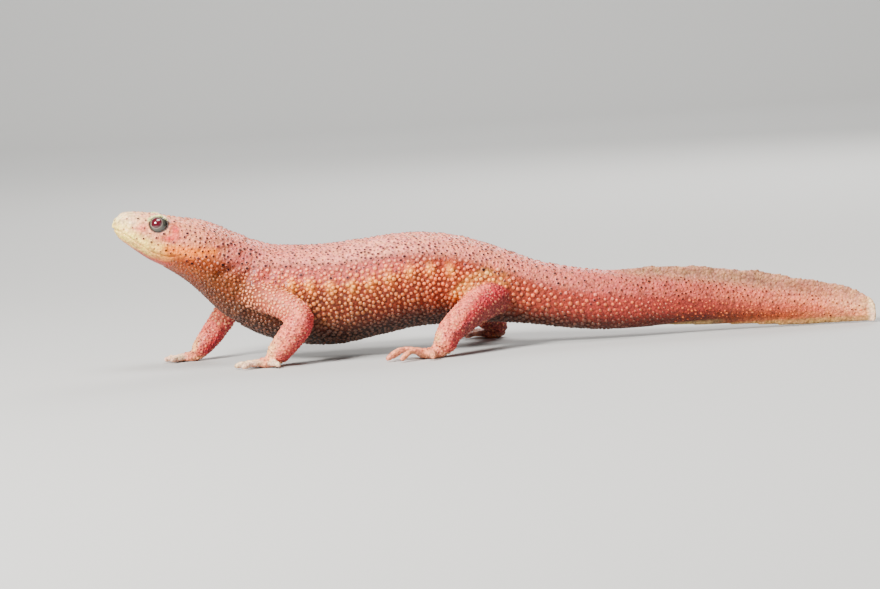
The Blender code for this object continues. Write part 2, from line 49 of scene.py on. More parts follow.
# the newt's own lines, the same sizes as its solids
trunk = {
    # place along X, height of the spine, rise to the back, drop to the belly, half width
    "rows": np.array((
        (-87.3, 34.2, 1.7, 0.8, 1.5), (-86.8, 34.0, 2.8, 1.4, 2.7), (-85.9, 33.7, 3.6, 2.3, 4.2),
        (-83.8, 33.0, 4.3, 3.3, 5.9), (-80.6, 31.8, 5.1, 4.4, 7.3), (-77.4, 30.4, 5.7, 5.2, 8.2),
        (-73.5, 28.8, 6.5, 5.7, 9.0),
        (-70.1, 27.2, 7.4, 6.3, 9.6), (-66.7, 25.3, 8.0, 6.9, 9.5), (-63.3, 23.1, 8.4, 7.8, 8.8),
        (-59.9, 20.9, 9.0, 8.9, 8.5), (-56.5, 18.9, 9.6, 9.8, 8.9), (-52.0, 17.0, 10.4, 10.7, 9.6),
        (-47.4, 15.7, 11.1, 11.2, 10.5), (-38.0, 14.9, 11.5, 11.8, 11.6), (-28.6, 15.6, 11.5, 11.1, 12.0),
        (-19.1, 16.8, 11.0, 10.8, 11.4), (-9.7, 16.4, 10.3, 10.3, 9.9), (-0.5, 14.8, 8.7, 9.1, 8.3),
        (8.8, 12.3, 7.4, 7.4, 6.8), (18.0, 10.3, 7.1, 7.0, 5.9), (29.7, 9.1, 6.3, 7.0, 4.8),
        (43.8, 8.4, 5.2, 5.6, 3.7), (57.8, 7.1, 4.0, 4.2, 2.9), (71.8, 5.3, 2.7, 3.1, 2.0),
        (79.0, 4.2, 2.1, 2.5, 1.5), (84.6, 3.7, 1.4, 1.7, 1.1), (87.4, 3.5, 0.5, 0.6, 0.6),
    )),
    "snoutTip": -87.55,
    "tailTip": 88.2,
    "squareness": np.array((
        (-88.0, 2.7), (-70.0, 2.5), (-56.0, 2.2), (-20.0, 2.15), (20.0, 2.0), (88.0, 2.0),
    )),
    "heading": np.array((
        (-88.0, 9.5), (-70.0, 9.5), (-54.0, 0.0), (15.0, 0.0), (40.0, 2.5),
        (62.0, -0.5), (78.0, -3.0), (84.0, -12.0), (90.0, -42.0),
    )),
    "straightAt": -30.0,
}


def smoothCurve(place, places, values):
    slopes = np.gradient(values, places)
    index = np.clip(np.searchsorted(places, place) - 1, 0, len(places) - 2)
    span = places[index + 1] - places[index]
    t = np.clip((place - places[index]) / span, 0.0, 1.0)
    start = (1 + 2 * t) * (1 - t) ** 2 * values[index] + t * (1 - t) ** 2 * span * slopes[index]
    end = t * t * (3 - 2 * t) * values[index + 1] + t * t * (t - 1) * span * slopes[index + 1]
    return start + end


def easeStep(value, low, high):
    t = np.clip((value - low) / (high - low), 0.0, 1.0)
    return t * t * (3 - 2 * t)


def easeDown(value, low, high):
    return 1 - easeStep(value, low, high)


def between(value, low, risen, high, fallen):
    # rises from low to risen and falls from high to fallen
    return easeStep(value, low, risen) * easeDown(value, high, fallen)


def bell(value, width):
    return np.exp(-(value / width) ** 2)


def spineTables():
    places = np.linspace(trunk["snoutTip"], trunk["tailTip"], 1200)
    rows = trunk["rows"]
    height, rise, drop, width = (smoothCurve(places, rows[:, 0], rows[:, i]) for i in range(1, 5))
    inner = np.clip(places, rows[0, 0], rows[-1, 0])
    slope = np.arctan(np.gradient(smoothCurve(inner, rows[:, 0], rows[:, 1]), places))
    snout = (rows[0, 0] - places) / (rows[0, 0] - trunk["snoutTip"])
    tail = (places - rows[-1, 0]) / (trunk["tailTip"] - rows[-1, 0])
    ends = [np.sqrt(np.clip(1 - np.clip(end, 0, 1) ** 2, 0, 1)) for end in (snout, tail)]
    close = ends[0] * ends[1]
    square = np.interp(places, *trunk["squareness"].T)
    return places, height, rise * close, drop * close, width * close, slope, square


spine = spineTables()


def bodyAt(x):
    return [np.interp(x, spine[0], column) for column in spine[1:]]


def bentPath():
    places = np.linspace(-100.0, 100.0, 1601)
    heading = np.radians(np.interp(places, *trunk["heading"].T))
    step = places[1] - places[0]
    across = np.cumsum(np.sin(heading)) * step
    along = np.cumsum(np.cos(heading)) * step
    across -= np.interp(trunk["straightAt"], places, across)
    along += trunk["straightAt"] - np.interp(trunk["straightAt"], places, along)
    return places, along, across, heading


path = bentPath()


def pathAt(x):
    return [np.interp(x, path[0], column) for column in path[1:]]


def bendPoints(points):
    along, across, turn = pathAt(points[:, 0])
    x, y = along - np.sin(turn) * points[:, 1], across + np.cos(turn) * points[:, 1]
    return np.column_stack((x, y, points[:, 2]))


def unbendPoints(points):
    x = points[:, 0].copy()
    for _ in range(6):
        along, across, turn = pathAt(x)
        x = x + (points[:, 0] - along) * np.cos(turn) + (points[:, 1] - across) * np.sin(turn)
    along, across, turn = pathAt(x)
    y = (points[:, 1] - across) * np.cos(turn) - (points[:, 0] - along) * np.sin(turn)
    return np.column_stack((x, y, points[:, 2]))


def sectionPoints(x, angle, grow=0.0):
    height, rise, drop, width, slope, square = bodyAt(x)
    cosine, sine = np.cos(angle), np.sin(angle)
    side = np.sign(cosine) * np.abs(cosine) ** (2 / square) * (width + grow)
    lift = np.sign(sine) * np.abs(sine) ** (2 / square) * (np.where(sine > 0, rise, drop) + grow)
    return np.column_stack((x - lift * np.sin(slope), side, height + lift * np.cos(slope)))


def onBody(points):
    # place along the spine, side, lift off the spine and turn round it in degrees, -90 belly to 90 back
    flat = unbendPoints(points)
    x = flat[:, 0].copy()
    for _ in range(8):
        height, _, _, _, slope, _ = bodyAt(x)
        gap = (flat[:, 0] - x) * np.cos(slope) + (flat[:, 2] - height) * np.sin(slope)
        x = np.clip(x + 0.8 * gap, trunk["snoutTip"], trunk["tailTip"])
    height, rise, drop, width, slope, _ = bodyAt(x)
    lift = (flat[:, 2] - height) * np.cos(slope) - (flat[:, 0] - x) * np.sin(slope)
    reach = np.maximum(np.where(lift > 0, rise, drop), 0.3)
    turn = np.degrees(np.arctan2(lift / reach, np.abs(flat[:, 1]) / np.maximum(width, 0.3)))
    return x, flat[:, 1], lift, turn


limbs = {
    # path points with radii from inside the body to the ankle, then the foot; toes are turns and lengths
    "frontLeft": {
        "side": -1,
        "path": (
            (-57.5, -4.8, 16.2, 3.4), (-53.0, -9.6, 15.6, 3.3), (-48.4, -13.2, 13.8, 3.1),
            (-44.7, -15.4, 10.6, 3.1), (-47.3, -15.7, 6.6, 3.1), (-50.6, -15.2, 2.9, 2.6),
        ),
        "turn": 8.0, "palm": (2.9, 2.3, 1.3), "reach": 2.2,
        "toes": ((-32.0, 4.4), (-4.0, 5.8), (24.0, 5.0), (112.0, 3.4)), "arch": 0.5,
    },
    "frontRight": {
        "side": 1,
        "path": (
            (-56.5, 4.6, 15.6, 3.4), (-59.4, 8.8, 14.2, 3.2), (-62.8, 11.4, 11.2, 2.9),
            (-65.4, 12.4, 7.8, 2.8), (-67.7, 12.0, 5.0, 2.6), (-70.0, 10.8, 2.5, 2.1),
        ),
        "turn": -6.0, "palm": (2.7, 2.1, 1.2), "reach": 2.0,
        "toes": ((-30.0, 4.0), (-4.0, 4.8), (22.0, 4.4), (58.0, 3.6)), "arch": 0.3,
    },
    "hindLeft": {
        "side": -1,
        "path": (
            (2.6, -3.2, 12.5, 4.1), (-1.0, -7.6, 11.6, 4.0), (-4.8, -12.0, 9.8, 3.7),
            (-8.4, -15.6, 7.5, 3.2), (-10.8, -17.6, 5.3, 2.9), (-12.0, -18.5, 2.9, 2.6),
        ),
        "turn": 8.0, "palm": (3.6, 2.5, 1.35), "reach": 3.0,
        "toes": ((-40.0, 5.2), (-14.0, 7.4), (6.0, 8.8), (30.0, 7.0), (84.0, 3.6)), "arch": 1.5,
    },
    "hindRight": {
        "side": 1,
        "path": (
            (4.4, 3.6, 12.0, 4.4), (0.8, 8.2, 11.0, 4.5), (-1.6, 12.6, 8.9, 3.7),
            (-2.6, 15.6, 6.3, 3.0), (-0.8, 17.2, 4.4, 2.5), (1.6, 17.8, 2.7, 1.9),
        ),
        "turn": 42.0, "palm": (3.4, 2.4, 1.3), "reach": 2.6,
        "toes": ((-44.0, 4.6), (-18.0, 6.6), (4.0, 7.8), (26.0, 6.6), (62.0, 4.4)), "arch": 0.6,
    },
}
toeForm = {"root": 0.95, "middle": 0.72, "tip": 0.72, "sink": 0.14, "joints": 0.07, "wave": 0.14}
eyeForm = {
    "place": np.array((-77.35, 5.65, 33.7)), "radius": 2.35, "looks": np.array((-0.30, 0.86, 0.42)),
    "lidRadius": 2.48, "lidThickness": 0.3, "lidAngle": (76.0, 56.0), "socket": 2.29,
    "hood": 2.6, "hollow": 1.3,
}
fins = {
    "upper": np.array((
        (16.0, 0.0), (27.0, 0.4), (36.8, 1.9), (43.8, 2.5), (50.8, 2.9),
        (57.8, 3.3), (71.8, 3.5), (81.0, 3.4), (85.0, 3.2), (87.6, 2.9),
    )),
    "lower": np.array(((30.0, 0.0), (38.0, 0.3), (48.0, 1.3), (57.8, 1.8), (66.0, 2.1), (87.0, 2.4))),
    "rootHalf": 0.75, "edgeHalf": 0.34, "end": 89.9,
}

# where the solids stand: the lines above, moved so that the outline's middle is at the origin
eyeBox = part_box("eye_left")
eyeMiddle = (np.array(eyeBox[0]) + np.array(eyeBox[1])) / 2 / mm
shift = eyeMiddle - bendPoints((eyeForm["place"] * (1, -1, 1))[None])[0]
shift[2] = 0.0


def toModel(points):
    return (np.asarray(points) + shift) * mm


# the camera, at the photograph's angle
view = {
    "elevation": 5.0, "roll": 3.72, "frameWidth": 206.25, "distance": 900.0,
    "aim": (-13.1, 12.0),  # the frame's middle from the origin, right and up in the picture
    "sensor": 36.0,
}


def makeCamera():
    lean, roll = math.radians(view["elevation"]), math.radians(view["roll"])
    sight = Vector((0, math.cos(lean), -math.sin(lean)))
    upright = Vector((0, math.sin(lean), math.cos(lean)))
    right = Vector((math.cos(roll), 0, 0)) - math.sin(roll) * upright
    top = Vector((math.sin(roll), 0, 0)) + math.cos(roll) * upright
    aim = right * view["aim"][0] + top * view["aim"][1]
    place = (aim - sight * view["distance"] + Vector(shift)) * mm
    data = bpy.data.cameras.new("camera")
    data.sensor_width = view["sensor"]
    data.lens = view["sensor"] * view["distance"] / view["frameWidth"]
    data.clip_start = 0.01
    data.dof.use_dof = False
    camera = bpy.data.objects.new("camera", data)
    bpy.context.scene.collection.objects.link(camera)
    turn = Matrix((right, top, -sight)).transposed().to_4x4()
    camera.matrix_world = Matrix.Translation(place) @ turn
    bpy.context.scene.camera = camera


makeCamera()
print("camera set")


# small mesh tools
def linkMesh(name, bm):
    mesh = bpy.data.meshes.new(name)
    bm.to_mesh(mesh)
    bm.free()
    piece = bpy.data.objects.new(name, mesh)
    bpy.context.scene.collection.objects.link(piece)
    return piece


def wrapGrid(alongCount, aroundCount, shape):
    # a grid wrapped into a closed tube: shape gives the place for each share along and angle round
    bm = bmesh.new()
    bmesh.ops.create_grid(bm, x_segments=alongCount, y_segments=aroundCount, size=0.5)
    flat = np.array([v.co[:2] for v in bm.verts])
    points = shape(np.clip(flat[:, 0] + 0.5, 0, 1), (flat[:, 1] + 0.5) * 2 * math.pi)
    for vertex, point in zip(bm.verts, points):
        vertex.co = point
    bmesh.ops.remove_doubles(bm, verts=bm.verts, dist=0.0008)
    bmesh.ops.recalc_face_normals(bm, faces=bm.faces)
    return bm


def ballMesh(centre, radius, segments=32, rings=20):
    bm = bmesh.new()
    bmesh.ops.create_uvsphere(bm, u_segments=segments, v_segments=rings, radius=radius)
    bmesh.ops.translate(bm, vec=Vector(centre), verts=bm.verts)
    return bm


def applyModifier(piece, kind, **settings):
    modifier = piece.modifiers.new("once", kind)
    for key, value in settings.items():
        setattr(modifier, key, value)
    bpy.context.view_layer.update()
    evaluated = piece.evaluated_get(bpy.context.evaluated_depsgraph_get())
    mesh = bpy.data.meshes.new_from_object(evaluated)
    piece.modifiers.clear()
    piece.data = mesh


def joinMeshes(name, parts):
    bm = bmesh.new()
    for part in parts:
        mesh = bpy.data.meshes.new("part")
        part.to_mesh(mesh)
        part.free()
        bm.from_mesh(mesh)
        bpy.data.meshes.remove(mesh)
    return linkMesh(name, bm)


def meshPoints(mesh, kind="co"):
    points = np.empty(len(mesh.vertices) * 3)
    mesh.vertices.foreach_get(kind, points)
    return points.reshape(-1, 3)


def setPoints(mesh, points):
    mesh.vertices.foreach_set("co", np.ascontiguousarray(points, dtype=np.float32).ravel())
    mesh.update()


def setPaint(mesh, paint):
    layer = mesh.attributes.new("paint", "FLOAT_COLOR", "POINT")
    layer.data.foreach_set("color", np.column_stack((paint, np.ones(len(paint)))).astype(np.float32).ravel())


# rough forms: trunk, limbs, feet, fins
def trunkShape(t, angle):
    places = (trunk["snoutTip"], -87.7, -85.5, 87.0, trunk["tailTip"])
    x = np.interp(t, (0.0, 0.03, 0.07, 0.97, 1.0), places)
    return bendPoints(sectionPoints(x, angle))


def limbSamples(plan, count=60):
    points = np.array(plan["path"])
    at = np.linspace(0, len(points) - 1, count)
    numbers = np.arange(len(points), dtype=float)
    return np.column_stack([smoothCurve(at, numbers, column) for column in points.T])


def limbTube(plan):
    # the limb's own line, carried on into the foot so that its rounded end stays hidden there
    samples = limbSamples(plan)
    last, before = samples[-1], samples[-4]
    ahead = (last[:3] - before[:3]) / np.linalg.norm(last[:3] - before[:3])
    for share in (0.3, 0.6, 0.9):
        samples = np.vstack((samples, (*(last[:3] + ahead * share * last[3]), last[3] * (1 - 0.25 * share))))
    return tubeShape(samples[:, :3], samples[:, 3])


def frameAlong(centres):
    along = np.gradient(centres, axis=0)
    along /= np.linalg.norm(along, axis=1)[:, None]
    across = np.empty_like(along)
    last = np.array((1.0, 0.2, 0.1))
    for i, tangent in enumerate(along):
        last = last - tangent * last.dot(tangent)
        last /= np.linalg.norm(last)
        across[i] = last
    return across, np.cross(along, across)


def tubeShape(centres, radii):
    # a tube round a line of centres, each end rounded over its own radius
    across, upright = frameAlong(centres)
    lengths = np.concatenate([[0], np.cumsum(np.linalg.norm(np.diff(centres, axis=0), axis=1))])

    def shape(t, angle):
        place = ((0.5 - 0.5 * np.cos(t * math.pi)) + 2 * t) / 3 * lengths[-1]
        columns = [np.interp(place, lengths, column) for column in (*centres.T, radii, *across.T, *upright.T)]
        middle, radius = np.column_stack(columns[:3]), columns[3]
        reach = np.clip(np.minimum(place, lengths[-1] - place) / np.maximum(radius, 0.01), 0, 1)
        radius = radius * np.sqrt(1 - (1 - reach) ** 2)
        sideways, up = np.column_stack(columns[4:7]), np.column_stack(columns[7:10])
        return middle + (np.cos(angle) * radius)[:, None] * sideways + (np.sin(angle) * radius)[:, None] * up

    return shape


def footFrame(plan):
    turn = math.radians(plan["turn"])
    ahead = np.array((-math.cos(turn), math.sin(turn) * plan["side"], 0.0))
    palm = np.array(plan["path"][-1][:3]) + ahead * plan["reach"]
    palm[2] = plan["palm"][2] - 0.2
    return turn, ahead, palm


def toeLines(plan):
    # centre lines and radii of the toes, bowed up from the palm and down to the floor, swollen at the joints
    turn, _, palm = footFrame(plan)
    tip = toeForm["tip"]
    lines = []
    for toeTurn, length in plan["toes"]:
        angle = turn + math.radians(toeTurn)
        out = np.array((-math.cos(angle), math.sin(angle) * plan["side"], 0.0))
        start = palm + out * plan["palm"][1] * 0.35
        full = length + plan["palm"][1] * 0.6
        share = np.linspace(0, 1, 26)
        radius = np.interp(share, (0, 0.5, 0.85, 1), (toeForm["root"], toeForm["middle"], tip, tip))
        radius = radius + toeForm["joints"] * np.cos(share * math.pi * 5)
        bow = plan["arch"] * np.sin(share ** 1.2 * math.pi) ** 2 * (length / 7)
        bow = bow + toeForm["wave"] * np.sin(share * math.pi * 3)
        centres = start + out * (share * full)[:, None]
        centres[:, 2] = np.interp(share, (0, 0.5, 1), (plan["palm"][2], 0.95, tip - toeForm["sink"])) + bow
        lines.append((centres, radius))
    return lines


def ankleLine(plan):
    _, ahead, palm = footFrame(plan)
    ankle = np.array(plan["path"][-1])
    share = np.linspace(0, 1, 12)
    centres = ankle[:3] + (palm - ahead * 0.5 + np.array((0, 0, 0.3)) - ankle[:3]) * share[:, None]
    return centres, ankle[3] + (plan["palm"][1] * 0.62 - ankle[3]) * share


def footParts(plan):
    _, ahead, palm = footFrame(plan)
    sole = ballMesh((0, 0, 0), 1.0, 28, 18)
    bmesh.ops.scale(sole, vec=plan["palm"], verts=sole.verts)
    bmesh.ops.rotate(sole, matrix=Matrix.Rotation(math.atan2(ahead[1], ahead[0]), 3, "Z"), verts=sole.verts)
    bmesh.ops.translate(sole, vec=Vector(palm), verts=sole.verts)
    ankle = wrapGrid(14, 20, tubeShape(*ankleLine(plan)))
    return [sole, ankle] + [wrapGrid(30, 14, tubeShape(*line)) for line in toeLines(plan)]


def edgeHeights(angle):
    x = np.linspace(-60.0, trunk["tailTip"], 500)
    points = sectionPoints(x, np.full_like(x, angle))
    return points[:, 0], points[:, 2]


backEdge, bellyEdge = edgeHeights(math.pi / 2), edgeHeights(-math.pi / 2)


def upperFinTop(x):
    wave = 0.16 * np.sin(x * 0.42) + 0.1 * np.sin(x * 0.93 + 1.0)
    rise = smoothCurve(np.clip(x, 16, 87.6), *fins["upper"].T)
    return np.interp(x, *backEdge) + rise + wave * easeStep(x, 34, 50)


def finPlate(x, low, high, shut, angle, thickLow):
    # a thin plate from low to high, drawn to its middle where shut is small
    middle = (low + high) / 2
    low, high = middle + (low - middle) * shut, middle + (high - middle) * shut
    up = (np.sin(angle) + 1) / 2
    root, edge = fins["rootHalf"], fins["edgeHalf"]
    half = root + (edge - root) * up if thickLow else edge + (root - edge) * up
    half = half * np.abs(np.cos(angle)) ** 0.6 * np.sign(np.cos(angle))
    return np.column_stack((x, half, low + (high - low) * up))


def closeEnds(t, share=0.02):
    return np.sqrt(np.clip(1 - (1 - np.clip(np.minimum(t, 1 - t) / share, 0, 1)) ** 2, 0, 1))


def upperFinShape(t, angle):
    x, shut = 15.0 + t * (88.0 - 15.0), closeEnds(t)
    low = np.interp(x, *backEdge) - 1.2
    points = finPlate(x, low, upperFinTop(x), shut, angle, True)
    points[:, 1] = points[:, 1] * shut + 0.22 * np.sin(x * 0.5) * easeStep(points[:, 2] - low, 1.5, 4.0)
    return bendPoints(points)


def lowerFinShape(t, angle):
    x, shut = 29.0 + t * (88.5 - 29.0), closeEnds(t)
    high = np.interp(x, *bellyEdge) + 1.0
    low = np.maximum(high - 1.0 - smoothCurve(np.clip(x, 30, 87), *fins["lower"].T), 0.0)
    points = finPlate(x, low, high, shut, angle, False)
    points[:, 1] *= shut
    return bendPoints(points)


def tailFlapShape(t, angle):
    # the soft end where both fins meet, hanging to the floor
    x = 80.0 + t * (fins["end"] - 80.0)
    top = np.interp(x, (80.0, 84.0, 86.0, 88.0, 89.2, 89.9), (8.6, 7.9, 7.3, 6.4, 5.5, 4.4))
    shut = closeEnds(t, 0.05)
    up = (np.sin(angle) + 1) / 2
    half = 0.42 * np.abs(np.cos(angle)) ** 0.6 * np.sign(np.cos(angle)) * shut
    return bendPoints(np.column_stack((x, half, top / 2 + (up - 0.5) * top * shut)))


def eyeAxis(side):
    axis = eyeForm["looks"] * (1, side, 1)
    axis = axis / np.linalg.norm(axis)
    turn = math.radians(trunk["heading"][0, 1])
    x = axis[0] * math.cos(turn) - axis[1] * math.sin(turn)
    y = axis[0] * math.sin(turn) + axis[1] * math.cos(turn)
    return np.array((x, y, axis[2]))


def eyeCentre(side):
    return bendPoints((eyeForm["place"] * (1, side, 1))[None])[0]


def lidEdge(angle):
    wide, narrow = eyeForm["lidAngle"]
    return np.radians(wide + (narrow - wide) * np.sin(angle) ** 2)


def aroundEye(side, polar, angle, away):
    # points round the eyeball: angle off its axis, turn round the axis and distance from the centre
    local = np.column_stack((np.cos(angle) * np.sin(polar), np.sin(angle) * np.sin(polar), np.cos(polar)))
    turn = np.array(Vector(eyeAxis(side)).to_track_quat("Z", "Y").to_matrix())
    return (local * away[:, None]) @ turn.T + eyeCentre(side)


def lidShape(side):
    # the ring of both lids lying on the eye, reaching further over it above and below
    def shape(t, angle):
        turn = t * 2 * math.pi
        thick = eyeForm["lidThickness"] * (1 + 0.8 * np.maximum(np.sin(turn), 0))
        away = eyeForm["lidRadius"] + 0.7 * thick * np.cos(angle)
        return aroundEye(side, lidEdge(turn) + thick / eyeForm["lidRadius"] * np.sin(angle), turn, away)

    return shape


def hoodShape(side):
    # the skin that wraps the eye behind the lids' edge, with a hollow in front for the ball
    def shape(t, angle):
        polar, edge = t * math.pi, lidEdge(angle)
        rise = (eyeForm["hood"] - eyeForm["hollow"]) * easeStep(polar, edge, edge + 0.14)
        return aroundEye(side, polar, angle, eyeForm["hollow"] + rise)

    return shape


def combine(body, tool, operation):
    other = linkMesh("tool", tool)
    applyModifier(body, "BOOLEAN", object=other, operation=operation, solver="EXACT")
    bpy.data.objects.remove(other, do_unlink=True)


def makeRoughSkin():
    body = linkMesh("skin", wrapGrid(300, 80, trunkShape))
    for side in (-1, 1):
        combine(body, wrapGrid(48, 14, lidShape(side)), "UNION")
        combine(body, ballMesh(eyeCentre(side), eyeForm["socket"]), "DIFFERENCE")
    parts = [wrapGrid(48, 40, hoodShape(side)) for side in (-1, 1)]
    parts.append(wrapGrid(150, 20, upperFinShape))
    parts.append(wrapGrid(120, 16, lowerFinShape))
    parts.append(wrapGrid(40, 16, tailFlapShape))
    for plan in limbs.values():
        parts.append(wrapGrid(60, 32, limbTube(plan)))
        parts += footParts(plan)
    core = bmesh.new()
    core.from_mesh(body.data)
    bpy.data.objects.remove(body, do_unlink=True)
    return joinMeshes("skin", [core] + parts)


# where a point lies on the animal: along the body and limbs
def limbGuides():
    # each limb as one run of balls: 0 at the root, 1 at the ankle, 2 at the toe tips
    guides = []
    for plan in limbs.values():
        samples = limbSamples(plan)
        runs = [(samples[:, :3], samples[:, 3], np.linspace(0, 1, len(samples)))]
        runs.append((*ankleLine(plan), np.linspace(1, 1.3, 12)))
        for line, radius in toeLines(plan):
            runs.append((line[::2], radius[::2], np.linspace(1.25, 2, len(line))[::2]))
        frames = [frameAlong(run[0]) for run in runs]
        guides.append([np.concatenate(column) for column in zip(*runs)]
                      + [np.concatenate([f[0] for f in frames]), np.concatenate([f[1] for f in frames])])
    return guides


guides = limbGuides()


def nearestLimb(points):
    count = len(points)
    best = {"gap": np.full(count, 1e9), "reach": np.zeros(count), "round": np.zeros(count)}
    best["limb"] = np.zeros(count, int)
    for limb, (centres, radii, reach, across, upright) in enumerate(guides):
        for start in range(0, count, 20000):
            part = slice(start, start + 20000)
            away = points[part][:, None, :] - centres[None]
            gap = np.sqrt((away ** 2).sum(axis=2)) - radii
            near = gap.argmin(axis=1)
            rows = np.arange(len(near))
            closer = gap[rows, near] < best["gap"][part]
            offset = away[rows, near]
            turn = np.arctan2((offset * upright[near]).sum(axis=1), (offset * across[near]).sum(axis=1))
            found = {"gap": gap[rows, near], "reach": reach[near], "round": turn, "limb": limb}
            for key, value in found.items():
                best[key][part] = np.where(closer, value, best[key][part])
    return best


def placesOf(points, normals):
    # everything the sculpting, the colours and the warts need to know about each point
    s, side, lift, turn = onBody(points)
    _, rise, drop, width, _, square = bodyAt(s)
    reach = np.maximum(np.where(lift > 0, rise, drop), 0.4)
    wide = np.maximum(width, 0.4)
    ratio = ((np.abs(side) / wide) ** square + (np.abs(lift) / reach) ** square) ** (1 / square)
    off = (ratio - 1) * np.minimum(wide, reach)
    limb = nearestLimb(points)
    x, y, z = unbendPoints(points).T
    over, under = z - np.interp(x, *backEdge), np.interp(x, *bellyEdge) - z
    tail = easeStep(x, 20, 32)
    return {
        "s": s, "side": side, "lift": lift, "turn": turn, "x": x, "y": np.abs(y), "z": z, "normal": normals,
        "limb": easeStep(off - limb["gap"], -0.1, 1.1), "reach": limb["reach"], "round": limb["round"],
        "which": limb["limb"], "gap": limb["gap"], "off": off, "over": over, "under": under,
        "upperFin": easeStep(over, -0.9, 0.5) * tail, "lowerFin": easeStep(under, -0.7, 0.3) * tail,
        "flap": easeStep(x, 87.4, 88.9),
    }


def blob(at, x, z, radiusX, radiusZ, lean=0.0):
    # a soft patch seen from the side, on both sides of the body
    turn = math.radians(lean)
    along = (at["x"] - x) * math.cos(turn) + (at["z"] - z) * math.sin(turn)
    across = (at["z"] - z) * math.cos(turn) - (at["x"] - x) * math.sin(turn)
    return np.exp(-(along / radiusX) ** 2 - (across / radiusZ) ** 2) * (1 - at["limb"])


def lineGap(at, line):
    # distance from a bent line seen from the side
    best = np.full(len(at["x"]), 1e9)
    for (x0, z0), (x1, z1) in zip(line[:-1], line[1:]):
        dx, dz = x1 - x0, z1 - z0
        t = np.clip(((at["x"] - x0) * dx + (at["z"] - z0) * dz) / (dx * dx + dz * dz), 0, 1)
        best = np.minimum(best, np.hypot(at["x"] - x0 - t * dx, at["z"] - z0 - t * dz))
    return best


# sculpting
face = {
    "mouthLine": np.array((
        (-90.0, 34.0), (-87.6, 33.4), (-86.4, 32.9), (-84.8, 31.9), (-83.4, 30.7), (-81.6, 29.3),
        (-79.8, 28.0), (-77.8, 27.1), (-75.8, 26.6), (-74.0, 26.6), (-66.0, 24.6),
    )),
    "grooveDepth": 0.36, "grooveWidth": 0.24, "lip": 0.22, "nostril": np.array((-85.3, 3.0, 36.2)),
    "throatFold": ((-55.6, 29.0), (-56.7, 27.2), (-58.4, 24.1), (-61.5, 22.4), (-64.1, 21.7)),
    "shoulderFold": ((-52.9, 22.8), (-55.2, 19.6), (-57.6, 15.6), (-59.4, 12.2)),
    # rise, place seen from the side, half length, half height and lean of each swelling or hollow
    "swellings": (
        (0.4, -69.0, 24.6, 4.2, 1.6, -24), (0.3, -66.5, 30.4, 4.5, 2.4, -25),
        (-0.25, -60.5, 27.3, 2.2, 1.6, 0), (0.22, -81.6, 35.4, 2.6, 0.8, -4), (-0.2, -74.6, 32.0, 1.4, 1.1, -20),
    ),
}
ribs = {
    "places": np.array((-46.5, -42.2, -37.4, -32.5, -28.1, -23.8, -18.9, -14.2, -9.6)),
    "heights": np.array((18.0, 17.7, 17.2, 17.1, 17.5, 18.5, 19.5, 19.7, 19.2)),
    "lift": 0.4, "radius": (1.2, 1.0), "ripple": 0.13, "step": 4.75,
}


def mouthGap(at):
    return at["z"] - np.interp(at["x"], *face["mouthLine"].T)


def sculptPush(at):
    # how far each point of the skin is pushed out along its normal
    x, turn, trunkShare = at["x"], at["turn"], 1 - at["limb"]
    off, ahead = mouthGap(at), easeStep(-x, 73.4, 75.2)
    push = ahead * (face["lip"] * bell(off - 0.8, 0.6) - face["grooveDepth"] * bell(off, face["grooveWidth"]))
    push -= 0.14 * ahead * bell(off + 1.0, 0.7)
    nostril = np.linalg.norm(np.column_stack((x, at["y"], at["z"])) - face["nostril"], axis=1)
    push += 0.05 * bell(nostril - 0.85, 0.35) - 0.5 * bell(nostril, 0.4)
    fold, ridge = lineGap(at, face["throatFold"]), lineGap(at, face["shoulderFold"])
    throat = trunkShare * easeStep(-at["s"], 50, 54) * (1 - 0.75 * easeStep(turn, 5, 34))
    push += throat * (0.25 * bell(fold - 2.0, 1.1) - 0.45 * bell(fold, 0.9))
    push += trunkShare * (0.34 * bell(ridge, 1.1) - 0.2 * bell(ridge - 2.4, 0.8))
    for rise, *form in face["swellings"]:
        push += rise * blob(at, *form)
    for place, height in zip(ribs["places"], ribs["heights"]):
        push += ribs["lift"] * blob(at, place, height, *ribs["radius"], 8)
    flank = between(at["s"], -50, -44, -10, -4) * between(turn, -60, -20, 14, 34) * trunkShare
    return push + ribs["ripple"] * flank * np.cos((at["s"] + 42.2) * 2 * math.pi / ribs["step"])


skinForm = {"voxel": 0.43, "smoothPasses": 2, "jointPasses": 14, "finePasses": 2, "fineBefore": -66.5}


def smoothVertices(bm, vertices, passes):
    axes = {"use_axis_x": True, "use_axis_y": True, "use_axis_z": True}
    for _ in range(passes):
        bmesh.ops.smooth_vert(bm, verts=vertices, factor=0.5, **axes)


def refineSkin(piece):
    # evens the steps of the remesh and the limbs' roots, then halves the head's faces
    bm = bmesh.new()
    bm.from_mesh(piece.data)
    smoothVertices(bm, bm.verts, skinForm["smoothPasses"])
    points = np.array([v.co[:] for v in bm.verts])
    at = placesOf(points, points * 0)
    joint = (np.abs(at["gap"]) < 1.5) & (np.abs(at["off"]) < 1.5) & (at["reach"] < 0.5)
    smoothVertices(bm, [v for v, atJoint in zip(bm.verts, joint) if atJoint], skinForm["jointPasses"])
    fine = [edge for edge in bm.edges if max(v.co.x for v in edge.verts) < skinForm["fineBefore"]]
    bmesh.ops.subdivide_edges(bm, edges=fine, cuts=1, use_grid_fill=True)
    smoothVertices(bm, [v for v in bm.verts if v.co.x < skinForm["fineBefore"] + 0.5], skinForm["finePasses"])
    bmesh.ops.triangulate(bm, faces=[f for f in bm.faces if len(f.verts) > 4])
    bm.to_mesh(piece.data)
    bm.free()


